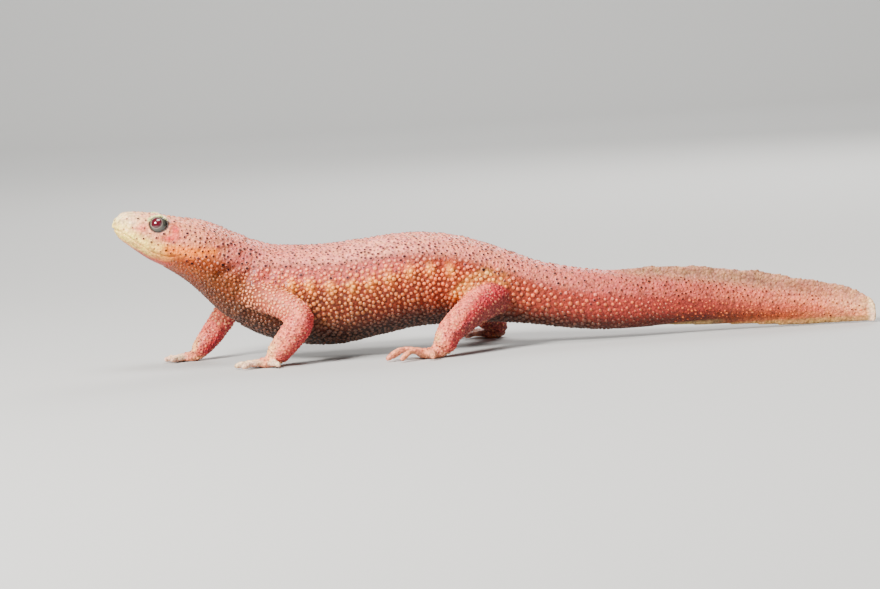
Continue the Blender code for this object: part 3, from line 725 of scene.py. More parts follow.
# colours, as seen on screen from 0 to 255
hues = {
    # along the back, the upper side, the low side and the belly: place along the body, then the colour; the low
    # side and the belly carry painted shade under the body over their own orange-brown
    "back": (
        (-88, 250, 234, 176), (-82, 240, 178, 128), (-72, 216, 138, 102), (-60, 202, 116, 96),
        (-48, 214, 126, 106), (-25, 234, 154, 128), (0, 218, 128, 104), (24, 186, 94, 80),
        (50, 180, 86, 68), (76, 226, 128, 92), (88, 250, 186, 134),
    ),
    "side": (
        (-88, 248, 230, 150), (-79, 248, 198, 100), (-71, 208, 112, 40), (-64, 132, 66, 18),
        (-57, 98, 48, 14), (-46, 94, 42, 16), (-25, 114, 43, 18), (0, 144, 58, 30),
        (24, 160, 60, 48), (50, 154, 58, 44), (76, 218, 112, 78), (88, 250, 178, 128),
    ),
    "low": (
        (-88, 244, 190, 120), (-79, 226, 120, 70), (-72, 170, 82, 42), (-64, 112, 58, 26),
        (-54, 62, 34, 16), (-40, 32, 17, 10), (-10, 36, 17, 10), (16, 74, 27, 14),
        (50, 98, 32, 12), (68, 184, 84, 42), (88, 240, 160, 108),
    ),
    "bellyAndShade": (
        (-88, 222, 130, 92), (-72, 150, 66, 40), (-60, 80, 44, 25), (-45, 34, 20, 13),
        (-10, 36, 18, 12), (50, 76, 27, 14), (72, 176, 104, 60), (88, 214, 140, 96),
    ),
    # the limbs
    # the rear thigh's dark mauve-brown is partly painted shade
    "limbTop": (234, 124, 98), "armTan": (176, 96, 66), "limbRed": (176, 34, 48), "limbMauveAndShade": (110, 56, 50),
    # the shade colour is painted shadow for the far hind leg
    "hand": (232, 142, 102), "toe": (228, 196, 160), "wrist": (246, 208, 138), "shade": (120, 66, 60),
    "sole": (214, 150, 120),
    # the fins, the head and the flank
    "fin": (164, 120, 90), "finEdge": (180, 136, 104), "lowerFin": (156, 132, 84),
    # the pale lid colour is a painted highlight, the wet glint along the upper lid's rim
    "lowerCream": (178, 140, 80), "flap": (250, 214, 168), "lidGlint": (214, 226, 150), "lidDark": (62, 54, 46),
    # the jaw's dark orange is its own orange, darkened as painted shade under the jaw's corner
    "lipCream": (250, 222, 112), "cheekGold": (230, 124, 24), "jawOrangeAndShade": (138, 58, 10),
    "chinRed": (184, 52, 40), "crimson": (146, 34, 40), "blush": (196, 58, 48), "peach": (226, 118, 84),
    "shoulderPink": (190, 88, 78), "ribCream": (242, 150, 50), "ribRim": (170, 70, 30),
    "thighRed": (150, 50, 34), "groin": (228, 168, 70),
    # the warts
    "dark": (34, 12, 18), "palePink": (246, 176, 160), "tailPale": (246, 140, 90), "gold": (232, 140, 60),
    # the granules' gold low on the flank is darkened as painted shade under the body
    "neckGold": (174, 92, 14), "goldLowAndShade": (94, 52, 16), "salmon": (244, 122, 56), "armPale": (232, 152, 104),
    "ribPale": (246, 168, 70), "groinPale": (252, 190, 96), "limbWart": (78, 24, 38),
    "limbPale": (244, 190, 140),
}
lines = {
    # bent lines that some colours follow, as places along the body and heights
    "jaw": ((-73.5, 25.4), (-68.0, 24.2), (-63.4, 23.8)),
    "gold": ((-76.0, 28.4), (-70.0, 27.5), (-64.6, 26.9)),
    "thigh": ((-4.0, 16.2), (-0.4, 17.0), (3.4, 16.0)),
    "groin": ((-8.4, 13.6), (-5.0, 16.2), (-1.1, 17.6), (2.5, 16.0)),
}


def tone(colour):
    share = np.asarray(colour, dtype=float) / 255
    return np.where(share <= 0.04045, share / 12.92, ((share + 0.055) / 1.055) ** 2.4)


def toneAlong(name, s):
    rows = np.array(hues[name], dtype=float)
    return np.column_stack([np.interp(s, rows[:, 0], tone(rows[:, i])) for i in (1, 2, 3)])


def blend(base, colour, share):
    target = tone(hues[colour]) if isinstance(colour, str) else colour
    return base + (target - base) * np.clip(np.reshape(share, (-1, 1)), 0, 1)


def backBorder(s):
    # turn round the body at which the back's colour ends
    places = (-88, -76, -66, -58, -48, -20, 0, 14, 34, 60, 80)
    return np.interp(s, places, (-8, -8, 4, 24, 38, 38, 31, 20, 8, -4, 0))


def blushShare(at):
    return blob(at, -73.8, 32.7, 1.3, 1.7, 20) + blob(at, -75.6, 30.8, 2.2, 0.9, -8) * 0.9


def goldShare(at):
    return bell(np.minimum(lineGap(at, lines["gold"]), lineGap(at, lines["jaw"])), 1.7)


def groinShare(at):
    return bell(lineGap(at, lines["groin"]), 1.3) * easeDown(at["turn"], 35, 50)


def bodyLayers(at):
    # each colour laid over the back's, with its share at every point
    s, turn, x, z = at["s"], at["turn"], at["x"], at["z"]
    border, off = backBorder(s), mouthGap(at)
    yield toneAlong("side", s), easeDown(turn, border - 9, border + 9)
    band = between(turn, border - 30, border - 18, border - 8, border + 6)
    yield "shoulderPink", band * between(s, -60, -54, -24, -12) * 0.75
    # the low side and the belly: their own orange-brown, darkened as painted shade under the body
    yield toneAlong("low", s), easeDown(turn, -58, -16)
    yield toneAlong("bellyAndShade", s), easeDown(turn, -86, -64)
    cheek = easeStep(-x, 64, 70)
    yield "lipCream", cheek * bell(off - 0.9, 1.7) * easeStep(-x, 70, 78) * 0.85
    yield "cheekGold", cheek * bell(off - 0.4, 1.5) * easeDown(-x, 74, 82) * 0.8
    yield "lipCream", between(-off, 0.1, 0.5, 1.1, 1.9) * easeStep(-x, 78.5, 81) * 0.8
    yield "chinRed", bell(off + 1.9, 0.7) * between(-x, 73, 76, 81.5, 84) * 0.85
    # the jaw's own orange, darkened as painted shade under the jaw and its corner
    yield "jawOrangeAndShade", bell(lineGap(at, lines["jaw"]), 1.6) * 0.95 + blob(at, -75.2, 26.9, 1.2, 0.7) * 0.5
    yield "cheekGold", bell(lineGap(at, lines["gold"]), 1.2) * 0.95
    fold = bell(lineGap(at, face["throatFold"][:3]), 2.6) * (1 - at["limb"])
    yield "crimson", fold * easeDown(turn, 40, 60) * 0.5
    yield "blush", blushShare(at)
    yield "peach", blob(at, -81.3, 33.5, 1.6, 1.0) * 0.9
    yield "thighRed", blob(at, -10.0, 20.3, 4.0, 1.6, -6) * 0.8 + blob(at, -14.0, 19.6, 2.0, 1.4) * 0.3
    for place, height in zip(ribs["places"], ribs["heights"]):
        yield "ribRim", blob(at, place, height, 2.2, 2.0) * 0.4
        yield "ribCream", blob(at, place, height, 0.9, 1.5, 8) * 0.9
    yield "fin", easeStep(at["over"], -2.2, 0.9) * easeStep(s, 22, 36) * (1 - 0.45 * easeStep(s, 58, 80))
    yield "finEdge", at["upperFin"] * easeStep(at["over"], 1.0, 3.0) * 0.6
    strip = easeDown(z, 1.3, 2.0) * easeStep(s, 38, 52)
    yield "lowerCream", strip * 0.9
    edge = at["lowerFin"] * easeStep(at["under"], -0.1, 0.4) * easeDown(s, 50, 56)
    yield "lowerFin", strip * easeDown(z, 0.5, 1.0) + edge
    yield "flap", at["flap"]
    for side in (-1, 1):
        away = at["point"] - eyeCentre(side)
        distance = np.linalg.norm(away, axis=1)
        above = easeStep(away[:, 2], 0.8, 1.6)
        facing = np.clip(away @ eyeAxis(side) / np.maximum(distance, 0.1), -1, 1)
        polar = np.degrees(np.arccos(facing))
        # painted highlight: a pale wet glint on the upper lid's rim, above the eye only
        yield "lidGlint", between(distance, 2.38, 2.46, 2.85, 3.15) * above * easeDown(polar, 74, 96)
        near = easeDown(distance, 2.62 - 0.25 * above, 2.8 - 0.33 * above)
        yield "lidDark", near * easeDown(polar, 84, 92)
    yield "groin", groinShare(at) * 0.7
    yield "thighRed", bell(lineGap(at, lines["thigh"]), 0.8) * easeDown(turn, 40, 60) * 0.8


def limbLayers(at):
    # the same for the limbs: reach is 0 at the root, 1 at the ankle and 2 at the toe tips
    reach, which, normal = at["reach"], at["which"], at["normal"]
    fore, hind = which < 2, which > 1
    rear = normal @ np.array((0.92, 0.0, -0.38))
    inner = -normal[:, 1] * np.array([plan["side"] for plan in limbs.values()])[which]
    shank = easeStep(reach, 0.35, 0.7)
    redFrom = np.where(fore, 0.0, -0.42 + 0.5 * shank)
    redTo = np.where(fore, 0.7, 0.12 + 0.45 * shank)
    pale = np.maximum(easeStep(-rear, 0.1, 0.8), easeStep(1.6 - at["point"][:, 2], 0, 1))
    yield "armTan", fore * easeDown(reach, 0.35, 0.62) * 0.8
    yield "limbRed", easeStep(rear, redFrom, redTo) * 0.9 + easeStep(inner, 0.3, 0.95) * 0.2
    yield "limbRed", between(reach, 0.0, 0.1, 0.25, 0.6) * hind * easeStep(rear, -0.6, 0) * 0.5
    # the rear of the hind thigh: its own mauve-brown, darkened further as painted shade on the side turned from
    # the light
    yield "limbMauveAndShade", easeStep(rear, 0.38, 0.75) * easeDown(reach, 0.6, 0.9) * hind * 0.75
    yield "wrist", easeStep(reach, 0.75, 1.0) * pale * 0.7
    yield "hand", easeStep(reach, 1.0, 1.2) * 0.85
    yield "toe", easeStep(reach, 1.25, 1.6)
    yield "hand", (which == 2) * easeStep(reach, 0.95, 1.2) * 0.85
    yield "limbRed", (which == 1) * between(reach, 0.3, 0.6, 0.85, 1.0) * 0.2
    # painted shadow: the far hind leg darkened where the body and tail shade it
    yield "shade", (which == 3) * easeStep(reach, 0.4, 0.8) * 0.8
    yield "sole", easeStep(-normal[:, 2], 0.5, 0.9) * easeStep(reach, 0.95, 1.1)


def paintAt(at):
    paint = toneAlong("back", at["s"])
    for colour, share in bodyLayers(at):
        paint = blend(paint, colour, share)
    limb = np.tile(tone(hues["limbTop"]), (len(paint), 1))
    for colour, share in limbLayers(at):
        limb = blend(limb, colour, share)
    fore = at["which"] < 2
    begins = easeStep(at["reach"], np.where(fore, 0.1, 0.02), np.where(fore, 0.4, 0.14))
    return blend(paint, limb, at["limb"] * begins)


# the skin
skin = makeRoughSkin()
print("rough skin faces", len(skin.data.polygons))
applyModifier(skin, "REMESH", mode="VOXEL", voxel_size=skinForm["voxel"], adaptivity=0.0)
refineSkin(skin)
print("refined skin faces", len(skin.data.polygons))


def dressSkin(piece):
    mesh = piece.data
    mesh.update()
    points, normals = meshPoints(mesh), meshPoints(mesh, "normal")
    at = placesOf(points, normals)
    points = points + normals * sculptPush(at)[:, None]
    points[:, 2] = np.maximum(points[:, 2], 0.0)
    setPoints(mesh, points)
    normals = meshPoints(mesh, "normal")
    at = placesOf(points, normals)
    at["point"] = points
    paint = paintAt(at)
    setPoints(mesh, toModel(points))
    setPaint(mesh, paint)
    mesh.shade_smooth()
    return at, paint


skinAt, skinPaint = dressSkin(skin)
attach(skin, "root")
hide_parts(*[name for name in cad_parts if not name.startswith("eye")])
print("skin sculpted and coloured", len(skin.data.vertices))

# warts and granules
warts = {
    # spacing and radius along the body for the back's warts and the flank's pale granules
    "backSpacing": (
        (-88, -83, -76, -68, -60, -50, -5, 6, 20, 34, 88),
        (4.0, 1.9, 1.2, 1.05, 1.0, 0.92, 0.92, 1.12, 1.3, 0.98, 0.85),
    ),
    "backRadius": (
        (-88, -76, -64, -52, -5, 10, 32, 44, 88), (0.3, 0.4, 0.44, 0.44, 0.44, 0.42, 0.36, 0.3, 0.27),
    ),
    "granuleSpacing": ((-76, -62, -52, -5, 10, 26, 44), (0.72, 0.8, 0.92, 0.92, 1.06, 1.1, 0.9)),
    "granuleRadius": ((-76, -62, -52, -4, 8, 22, 34, 44), (0.3, 0.42, 0.53, 0.53, 0.58, 0.54, 0.38, 0.25)),
    # spacing and radius of the others
    "arm": (0.78, 0.42), "limb": (0.66, 0.36), "fin": (1.2, 0.27),
    "roughSpacing": (0.8, 1.3), "cell": 2.2,
}


def wartKinds(at):
    s, turn, limb, reach, count = at["s"], at["turn"], at["limb"], at["reach"], len(at["s"])
    border, height = backBorder(s), at["point"][:, 2]
    kind = np.where(turn > border - 2, "back", "granule")
    some = np.random.default_rng(3).random(count) < 0.55 * easeStep(turn, border - 26, border - 2)
    begins = np.where(at["which"] < 2, 0.55, 0.1)
    kind[(kind == "granule") & some | (s < -69) & (turn > -30) | (s > 42) & (kind == "granule")] = "back"
    kind[at["upperFin"] > 0.5] = "fin"
    kind[(limb > 0.5) & (reach > begins)] = "limb"
    kind[(limb > 0.3) & (reach <= begins)] = "granule"
    nearEye = np.minimum(*[np.linalg.norm(at["point"] - eyeCentre(side), axis=1) for side in (-1, 1)])
    bare = (nearEye < 3.1) | (np.abs(mouthGap(at)) < 0.7) & (at["x"] < -72)
    bare |= (at["lowerFin"] > 0.4) | (at["flap"] > 0.1) | (reach > 1.35) & (limb > 0.5) | (height < 0.5)
    bare |= (s < -74) & (turn < -25) | (s > 52) & (at["z"] < 1.7)
    bare |= (blob(at, -10.0, 20.3, 2.4, 1.2, -6) > 0.5) | (blushShare(at) > 0.45)
    kind[bare] = "none"
    low = 1 - 0.18 * easeDown(turn, -75, -50)
    granule = kind == "granule"
    spacing, radius = np.interp(s, *warts["backSpacing"]), np.interp(s, *warts["backRadius"])
    for here, gap, size in (
        (granule, np.interp(s, *warts["granuleSpacing"]) * low, np.interp(s, *warts["granuleRadius"]) * low),
        (granule & (limb > 0.5), *warts["arm"]),
        (kind == "limb", *warts["limb"]),
        (kind == "fin", *warts["fin"]),
    ):
        spacing, radius = np.where(here, gap, spacing), np.where(here, size, radius)
    rough = np.random.default_rng(4).uniform(*warts["roughSpacing"], count)
    return kind, np.where(granule, spacing, spacing * rough), radius


def scatter(points, spacing, allowed):
    # picks points in random order, none closer to another than its own spacing
    kept, grid = [], {}
    steps = list(itertools.product((-1, 0, 1), repeat=3))
    for i in np.random.default_rng(11).permutation(np.flatnonzero(allowed)):
        x, y, z = points[i]
        column, row, level = (int(value // warts["cell"]) for value in (x, y, z))
        limit = spacing[i] ** 2
        near = (other for dx, dy, dz in steps for other in grid.get((column + dx, row + dy, level + dz), ()))
        if all((ox - x) ** 2 + (oy - y) ** 2 + (oz - z) ** 2 >= limit for ox, oy, oz in near):
            grid.setdefault((column, row, level), []).append((x, y, z))
            kept.append(i)
    return np.array(kept)


def wartTemplate(segments, profile):
    # a small dome turned from a sphere: profile gives radius and height from the top to the sunk root
    bm = bmesh.new()
    bmesh.ops.create_uvsphere(bm, u_segments=segments, v_segments=len(profile) - 1, radius=1.0)
    levels = sorted({round(v.co.z, 4) for v in bm.verts}, reverse=True)
    for vertex in bm.verts:
        radius, height = profile[levels.index(round(vertex.co.z, 4))]
        angle = math.atan2(vertex.co.y, vertex.co.x)
        vertex.co = (math.cos(angle) * radius, math.sin(angle) * radius, height)
    bmesh.ops.triangulate(bm, faces=bm.faces)
    bmesh.ops.recalc_face_normals(bm, faces=bm.faces)
    points = np.array([v.co[:] for v in bm.verts])
    faces = np.array([[v.index for v in f.verts] for f in bm.faces])
    bm.free()
    return points, faces


def bakePlace(at):
    # where a wart's patch lies on the flat unwrap: the body in one band, each limb in its own
    turn = np.degrees(np.arctan2(at["lift"], at["side"])) % 360
    body = np.column_stack((0.02 + 0.96 * (at["s"] + 89) / 179, 0.02 + 0.54 * turn / 360))
    around = np.degrees(at["round"]) % 360
    limb = np.column_stack((0.02 + 0.96 * at["reach"] / 2, 0.6 + 0.095 * at["which"] + 0.085 * around / 360))
    return np.where((at["limb"] > 0.5)[:, None], limb, body)


def backTones(at, ground):
    # colours of the crown and the tip of each wart, over the skin's own colour
    tail = easeStep(at["s"], 10, 44)
    pale = blend(ground, "palePink", 0.7 * (1 - 0.85 * goldShare(at)))
    pale = blend(pale, blend(ground, "tailPale", 0.35), tail)
    bright = np.random.default_rng(5).random(len(tail)) < 0.75 * tail * easeDown(at["turn"], -10, 22)
    return pale, np.where(bright[:, None], blend(ground, "tailPale", 0.7), tone(hues["dark"]))


def granuleTones(at, ground):
    s, turn = at["s"], at["turn"]
    onRib = np.max([blob(at, x, z, 1.2, 1.1) for x, z in zip(ribs["places"], ribs["heights"])], axis=0)
    gold = blend(ground, "gold", 0.75)
    for colour, share in (
        (blend(ground, "neckGold", 0.8), easeDown(s, -60, -50)),
        (blend(ground, "salmon", 0.75), easeStep(s, -34, -4)),
        # granules low on the flank: their own gold, darkened as painted shade
        (blend(ground, "goldLowAndShade", 0.75), easeDown(turn, -42, 6)),
        (blend(ground, "palePink", 0.35), easeStep(turn, backBorder(s) - 24, backBorder(s)) * 0.7),
        ("armPale", easeStep(at["limb"], 0.4, 0.8) * (at["which"] < 2) * 0.8),
        ("ribPale", onRib * 0.8), ("groinPale", groinShare(at) * 0.8),
    ):
        gold = blend(gold, colour, share)
    return gold, np.clip(gold * 1.12, 0, 0.95)


def limbTones(at, ground):
    bright = (np.random.default_rng(6).random(len(ground)) < 0.4)[:, None]
    spots = np.where(bright, blend(ground, "limbPale", 0.45), blend(ground, "limbWart", 0.85))
    return blend(ground, "palePink", 0.35), spots


def finTones(at, ground):
    return ground, blend(ground, "dark", 0.6)


roundDome = ((0, 1.0), (0.5, 0.84), (0.9, 0.36), (1.0, -0.3), (0, -0.5))
sharpDome = ((0, 1.0), (0.46, 0.84), (0.72, 0.42), (1.05, -0.12), (0, -0.35))
granulePlan = {
    "kind": "granule", "tones": granuleTones, "dome": roundDome, "segments": 7, "height": 0.58,
    "tipFrom": 0.7, "spread": (0.86, 1.2), "slot": "trunk_skin",
}
limbPlan = {
    "kind": "limb", "tones": limbTones, "dome": sharpDome, "segments": 6, "height": 0.42, "tipFrom": 0.8,
    "spread": (0.86, 1.2), "slot": "limb_skin",
}
wartPlans = {
    "warts_back": {
        "kind": "back", "tones": backTones, "dome": sharpDome, "segments": 7, "height": 0.5, "tipFrom": 0.8,
        "spread": (0.72, 1.5), "slot": "trunk_skin",
    },
    "granules_front": {**granulePlan, "rear": False},
    "granules_rear": {**granulePlan, "rear": True},
    "warts_limbs": limbPlan,
    "dots_fin": {**limbPlan, "kind": "fin", "tones": finTones, "height": 0.2, "slot": "fin_skin"},
}
wartKind, wartSpacing, wartRadius = wartKinds(skinAt)
chosen = scatter(skinAt["point"], wartSpacing, wartKind != "none")


def makeWarts(name, plan):
    # one joined mesh: a copy of the dome at each chosen point, with its own colours and bake patch
    index = chosen[wartKind[chosen] == plan["kind"]]
    if "rear" in plan:
        index = index[(skinAt["s"][index] > -26) == plan["rear"]]
    at = {key: value[index] for key, value in skinAt.items()}
    ground, count = skinPaint[index], len(index)
    crown, tip = plan["tones"](at, ground)
    local, faces = wartTemplate(plan["segments"], plan["dome"])
    rng = np.random.default_rng(count)
    normal = at["normal"] + rng.normal(0, 0.08, (count, 3))
    normal /= np.linalg.norm(normal, axis=1)[:, None]
    across = np.cross(normal, (0.13, 0.21, 0.97))
    across /= np.linalg.norm(across, axis=1)[:, None]
    upright = np.cross(normal, across)
    least, most = plan["spread"]
    size = wartRadius[index] * (least + (most - least) * rng.random(count) ** 1.6)
    tall = size * plan["height"] * rng.uniform(0.8, 1.2, count)
    turn = rng.uniform(0, 2 * math.pi, count)[:, None]
    x = local[None, :, 0] * np.cos(turn) - local[None, :, 1] * np.sin(turn)
    y = local[None, :, 0] * np.sin(turn) + local[None, :, 1] * np.cos(turn)
    x = x * rng.uniform(0.9, 1.15, count)[:, None]
    x, y, z = x * size[:, None], y * size[:, None], local[None, :, 2] * tall[:, None]
    points = at["point"][:, None]
    for direction, length in ((across, x), (upright, y), (normal, z)):
        points = points + direction[:, None] * length[..., None]
    points[..., 2] = np.maximum(points[..., 2], 0.0)
    mesh = bpy.data.meshes.new(name)
    order = (faces[None] + (np.arange(count) * len(local))[:, None, None]).reshape(-1, 3)
    mesh.from_pydata(toModel(points.reshape(-1, 3)), [], order)
    mesh.validate()
    rise = easeStep(local[:, 2], 0.05, 0.75)[None, :, None]
    ground = ground[:, None]
    paint = ground + (crown[:, None] - ground) * rise * rng.uniform(0.75, 1.0, count)[:, None, None]
    peak = (local[:, 2] > plan["tipFrom"])[None, :, None] * rng.uniform(0.88, 1.0, count)[:, None, None]
    paint = paint + (tip[:, None] - paint) * peak
    paint = paint * rng.uniform(0.84, 1.12, count)[:, None, None] * rng.uniform(0.94, 1.06, (count, 1, 3))
    setPaint(mesh, np.clip(paint.reshape(-1, 3), 0, 1))
    layer = mesh.uv_layers.new(name="OFBake")
    flat = bakePlace(at)[:, None] + local[None, :, :2] * 0.0015
    layer.data.foreach_set("uv", flat.reshape(-1, 2)[order.ravel()].astype(np.float32).ravel())
    mesh.shade_smooth()
    piece = bpy.data.objects.new(name, mesh)
    bpy.context.scene.collection.objects.link(piece)
    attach(piece, "root")
    print(name, count, "warts", len(order), "triangles")
    return piece


wartPieces = [makeWarts(name, plan) for name, plan in wartPlans.items()]


# the eyes
eyeLooks = {
    # colours at angles from the middle of the pupil, in degrees
    "angles": (0, 20, 28, 31, 33, 36, 46, 56, 64, 180),
    "colours": (
        (84, 8, 24), (76, 8, 22), (60, 10, 20), (70, 40, 40), (140, 120, 112),
        (74, 72, 62), (64, 64, 54), (48, 48, 40), (18, 18, 16), (16, 16, 14),
    ),
    "corneaBulge": 0.16, "corneaAngle": 52.0, "segments": 64, "rings": 48,
    "streakScale": 2200.0, "roughness": 0.16, "coatRoughness": 0.03,
}


def makeEye(side, name):
    axis = Vector(eyeAxis(side))
    bm = bmesh.new()
    bmesh.ops.create_uvsphere(bm, u_segments=eyeLooks["segments"], v_segments=eyeLooks["rings"],
                              radius=eyeForm["radius"])
    angles = np.array([v.co.angle(Vector((0, 0, 1))) for v in bm.verts])
    bulge = np.clip(np.cos(angles * 90 / eyeLooks["corneaAngle"]), 0, 1) ** 2
    bulge = bulge * (angles < math.radians(eyeLooks["corneaAngle"]))
    rise = 1 + eyeLooks["corneaBulge"] / eyeForm["radius"] * bulge
    for vertex, share in zip(bm.verts, rise):
        vertex.co = vertex.co * float(share)
    bmesh.ops.rotate(bm, matrix=axis.to_track_quat("Z", "Y").to_matrix(), verts=bm.verts)
    bmesh.ops.translate(bm, vec=Vector(eyeCentre(side)), verts=bm.verts)
    piece = linkMesh("eye_ball_" + name, bm)
    setPoints(piece.data, toModel(meshPoints(piece.data)))
    rows = tone(np.array(eyeLooks["colours"]))
    columns = [np.interp(np.degrees(angles), eyeLooks["angles"], column) for column in rows.T]
    setPaint(piece.data, np.column_stack(columns))
    piece.data.shade_smooth()
    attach(piece, "root")
    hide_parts("eye_" + name)
    return piece


eyes = [makeEye(-1, "left"), makeEye(1, "right")]
print("eyes made")


# materials
class Wire:
    # a shader socket that adds and multiplies like a number
    def __init__(self, tree, socket=None):
        self.tree, self.socket = tree, socket

    def node(self, kind, settings=None, inputs=None, output=0):
        made = self.tree.nodes.new(kind)
        for key, value in (settings or {}).items():
            setattr(made, key, value)
        for key, value in (inputs or {}).items():
            if isinstance(value, Wire):
                self.tree.links.new(value.socket, made.inputs[key])
            else:
                made.inputs[key].default_value = value
        return Wire(self.tree, made.outputs[output])

    def noise(self, scale, detail, roughness=0.5):
        inputs = {"Vector": self, "Scale": scale, "Detail": detail, "Roughness": roughness}
        return self.node("ShaderNodeTexNoise", None, inputs)

    def grey(self):
        return self.node("ShaderNodeCombineColor", None, {0: self, 1: self, 2: self})

    def mix(self, share, other, mode):
        inputs = {0: share, 6: self, 7: other}
        return self.node("ShaderNodeMix", {"data_type": "RGBA", "blend_type": mode}, inputs, 2)

    def math(self, operation, other):
        return self.node("ShaderNodeMath", {"operation": operation}, {0: self, 1: other})

    def __add__(self, other):
        return self.math("ADD", other)

    def __mul__(self, other):
        return self.math("MULTIPLY", other)

    def __sub__(self, other):
        return self.math("SUBTRACT", other)


def startMaterial(name):
    look = bpy.data.materials.new(name)
    look.use_nodes = True
    return look, look.node_tree.nodes["Principled BSDF"], Wire(look.node_tree)


def setSockets(shader, values):
    for name, value in values.items():
        if isinstance(value, Wire):
            value.tree.links.new(value.socket, shader.inputs[name])
        else:
            shader.inputs[name].default_value = value


finish = {
    "roughness": 0.48, "coat": 0.07, "coatRoughness": 0.14, "specular": 0.24,
    "subsurface": 0.12, "subsurfaceDepth": 0.0003, "subsurfaceTint": (1.0, 0.36, 0.22),
    "cellScale": 1500.0, "grainScale": 3400.0, "patchScale": 420.0, "mottleScale": 900.0,
    "blotchScale": 650.0, "bump": 0.9, "bumpHeight": 0.00022, "deepRed": (0.62, 0.2, 0.16, 1.0),
    "blotchTints": ((0.4, (0.98, 0.88, 1.0, 1.0)), (0.6, (1.0, 1.0, 0.92, 1.0))),
}


def fleshMaterial(name, grainAndGapShade, bumpShare, shine):
    look, shader, wire = startMaterial(name)
    paint = wire.node("ShaderNodeAttribute", {"attribute_name": "paint"})
    place = wire.node("ShaderNodeTexCoord", output=3)
    cells = {"Vector": place, "Scale": finish["cellScale"]}
    patch = place.noise(finish["patchScale"], 5.0, 0.6)
    cell = wire.node("ShaderNodeTexVoronoi", None, cells)
    cellTone = wire.node("ShaderNodeTexVoronoi", None, cells, 1)
    fleck = place.noise(finish["grainScale"], 3.0)
    mottle = place.noise(finish["mottleScale"], 4.0, 0.65)
    shade = patch * 0.5 + mottle * 1.1 + fleck * 0.6 + cellTone * 0.4 * grainAndGapShade
    # the colour darkens towards each small cell's edge: painted shade in the gaps between the cells, over the
    # skin's own mottled tones
    shade = shade - cell * 0.75 * grainAndGapShade + (0.16 * grainAndGapShade - 0.12)
    tint = wire.node("ShaderNodeValToRGB", None, {"Fac": place.noise(finish["blotchScale"], 2.0)})
    for stop, (spot, colour) in zip(tint.socket.node.color_ramp.elements, finish["blotchTints"]):
        stop.position, stop.color = spot, colour
    coloured = paint.mix(1.0, shade.grey(), "MULTIPLY").mix(1.0, tint, "MULTIPLY")
    relief = {"Strength": finish["bump"] * bumpShare, "Distance": finish["bumpHeight"]}
    setSockets(shader, {
        "Base Color": coloured.mix(patch * 0.35, finish["deepRed"], "SOFT_LIGHT"),
        "Roughness": patch * 0.22 + (finish["roughness"] - 0.11),
        "Normal": wire.node("ShaderNodeBump", None, {**relief, "Height": fleck * 0.5 - cell * 1.1}),
        "Specular IOR Level": finish["specular"] * shine,
        "Coat Weight": finish["coat"] * shine,
        "Coat Roughness": finish["coatRoughness"],
        "Subsurface Weight": finish["subsurface"] * min(shine, 1.0),
        "Subsurface Radius": finish["subsurfaceTint"],
        "Subsurface Scale": finish["subsurfaceDepth"],
    })
    return look


def eyeMaterial():
    look, shader, wire = startMaterial("wetEye")
    paint = wire.node("ShaderNodeAttribute", {"attribute_name": "paint"})
    streak = wire.node("ShaderNodeTexCoord", output=3).noise(eyeLooks["streakScale"], 6.0, 0.7)
    setSockets(shader, {
        "Base Color": paint.mix(1.0, (streak * 0.7 + 0.65).grey(), "MULTIPLY"),
        "Roughness": eyeLooks["roughness"],
        "Coat Weight": 1.0,
        "Coat Roughness": eyeLooks["coatRoughness"],
    })
    return look


skin.data.materials.append(fleshMaterial("newtSkin", 1.0, 1.0, 1.0))
wartLook = fleshMaterial("wartSkin", 0.3, 0.3, 2.4)
dotLook = fleshMaterial("dotSkin", 0.3, 0.3, 0.4)
for piece in wartPieces:
    piece.data.materials.append(wartLook if piece.name.startswith("granules") else dotLook)
eyeLook = eyeMaterial()
for piece in eyes:
    piece.data.materials.append(eyeLook)
print("materials made")

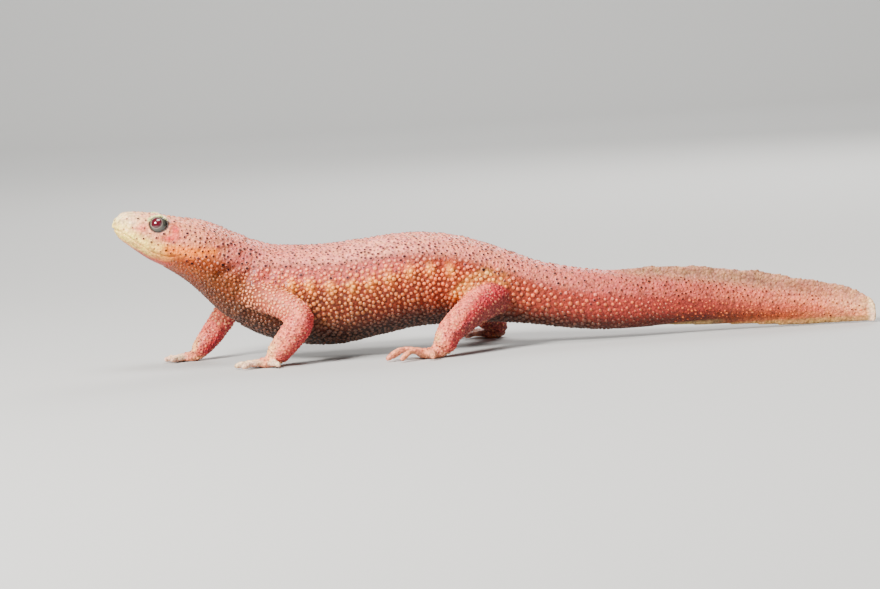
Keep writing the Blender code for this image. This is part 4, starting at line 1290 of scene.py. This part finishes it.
# floor and light
studio = {
    "floorTone": (0.42, 0.42, 0.41, 1), "floorRoughness": 0.85, "wall": 1.7, "curve": 0.5,
    "roomTone": (0.80, 0.82, 0.84, 1), "roomStrength": 0.18,
    "lights": (  # place, aim, size, power and tint
        ("key", (-0.47, -0.44, 0.48), (0, 0, 0.01), 0.22, 18.8, (1.0, 0.97, 0.93)),
        ("top", (0.00, -0.12, 0.80), (0, 0, 0.01), 0.40, 7.5, (1.0, 0.99, 0.97)),
        ("fill", (0.55, -0.60, 0.25), (0, 0, 0.01), 0.60, 1.0, (0.94, 0.97, 1.0)),
        ("back", (0.20, 0.60, 0.42), (0, 0, 0.01), 0.40, 5.2, (1.0, 0.98, 0.96)),
        ("backdrop", (0.00, 0.90, 0.90), (0, 1.7, 0.3), 0.80, 16.0, (1.0, 0.99, 0.98)),
    ),
}


def makeStage():
    bm = bmesh.new()
    bmesh.ops.create_grid(bm, x_segments=1, y_segments=1, size=studio["wall"] * 2)
    bmesh.ops.translate(bm, vec=(0, -studio["wall"], 0), verts=bm.verts)
    back = [edge for edge in bm.edges if min(v.co.y for v in edge.verts) > studio["wall"] - 0.01]
    made = bmesh.ops.extrude_edge_only(bm, edges=back)["geom"]
    raised = [v for v in made if isinstance(v, bmesh.types.BMVert)]
    bmesh.ops.translate(bm, vec=(0, 0, studio["wall"]), verts=raised)
    bmesh.ops.bevel(bm, geom=back, offset=studio["curve"], segments=24, profile=0.5,
                    affect="EDGES", material=-1)
    bmesh.ops.recalc_face_normals(bm, faces=bm.faces)
    floor = linkMesh("floor", bm)
    floor.data.shade_smooth()
    look, shader, _ = startMaterial("paleFloor")
    setSockets(shader, {"Base Color": studio["floorTone"], "Roughness": studio["floorRoughness"]})
    floor.data.materials.append(look)
    for name, place, aim, size, power, tint in studio["lights"]:
        data = bpy.data.lights.new(name, "AREA")
        data.energy, data.size, data.color = power, size, tint
        lamp = bpy.data.objects.new(name, data)
        lamp.location = place
        lamp.rotation_euler = (Vector(aim) - Vector(place)).to_track_quat("-Z", "Y").to_euler()
        bpy.context.scene.collection.objects.link(lamp)
    world = bpy.data.worlds.new("room")
    world.use_nodes = True
    room = {"Color": studio["roomTone"], "Strength": studio["roomStrength"]}
    setSockets(world.node_tree.nodes["Background"], room)
    bpy.context.scene.world = world


makeStage()
print("stage set")
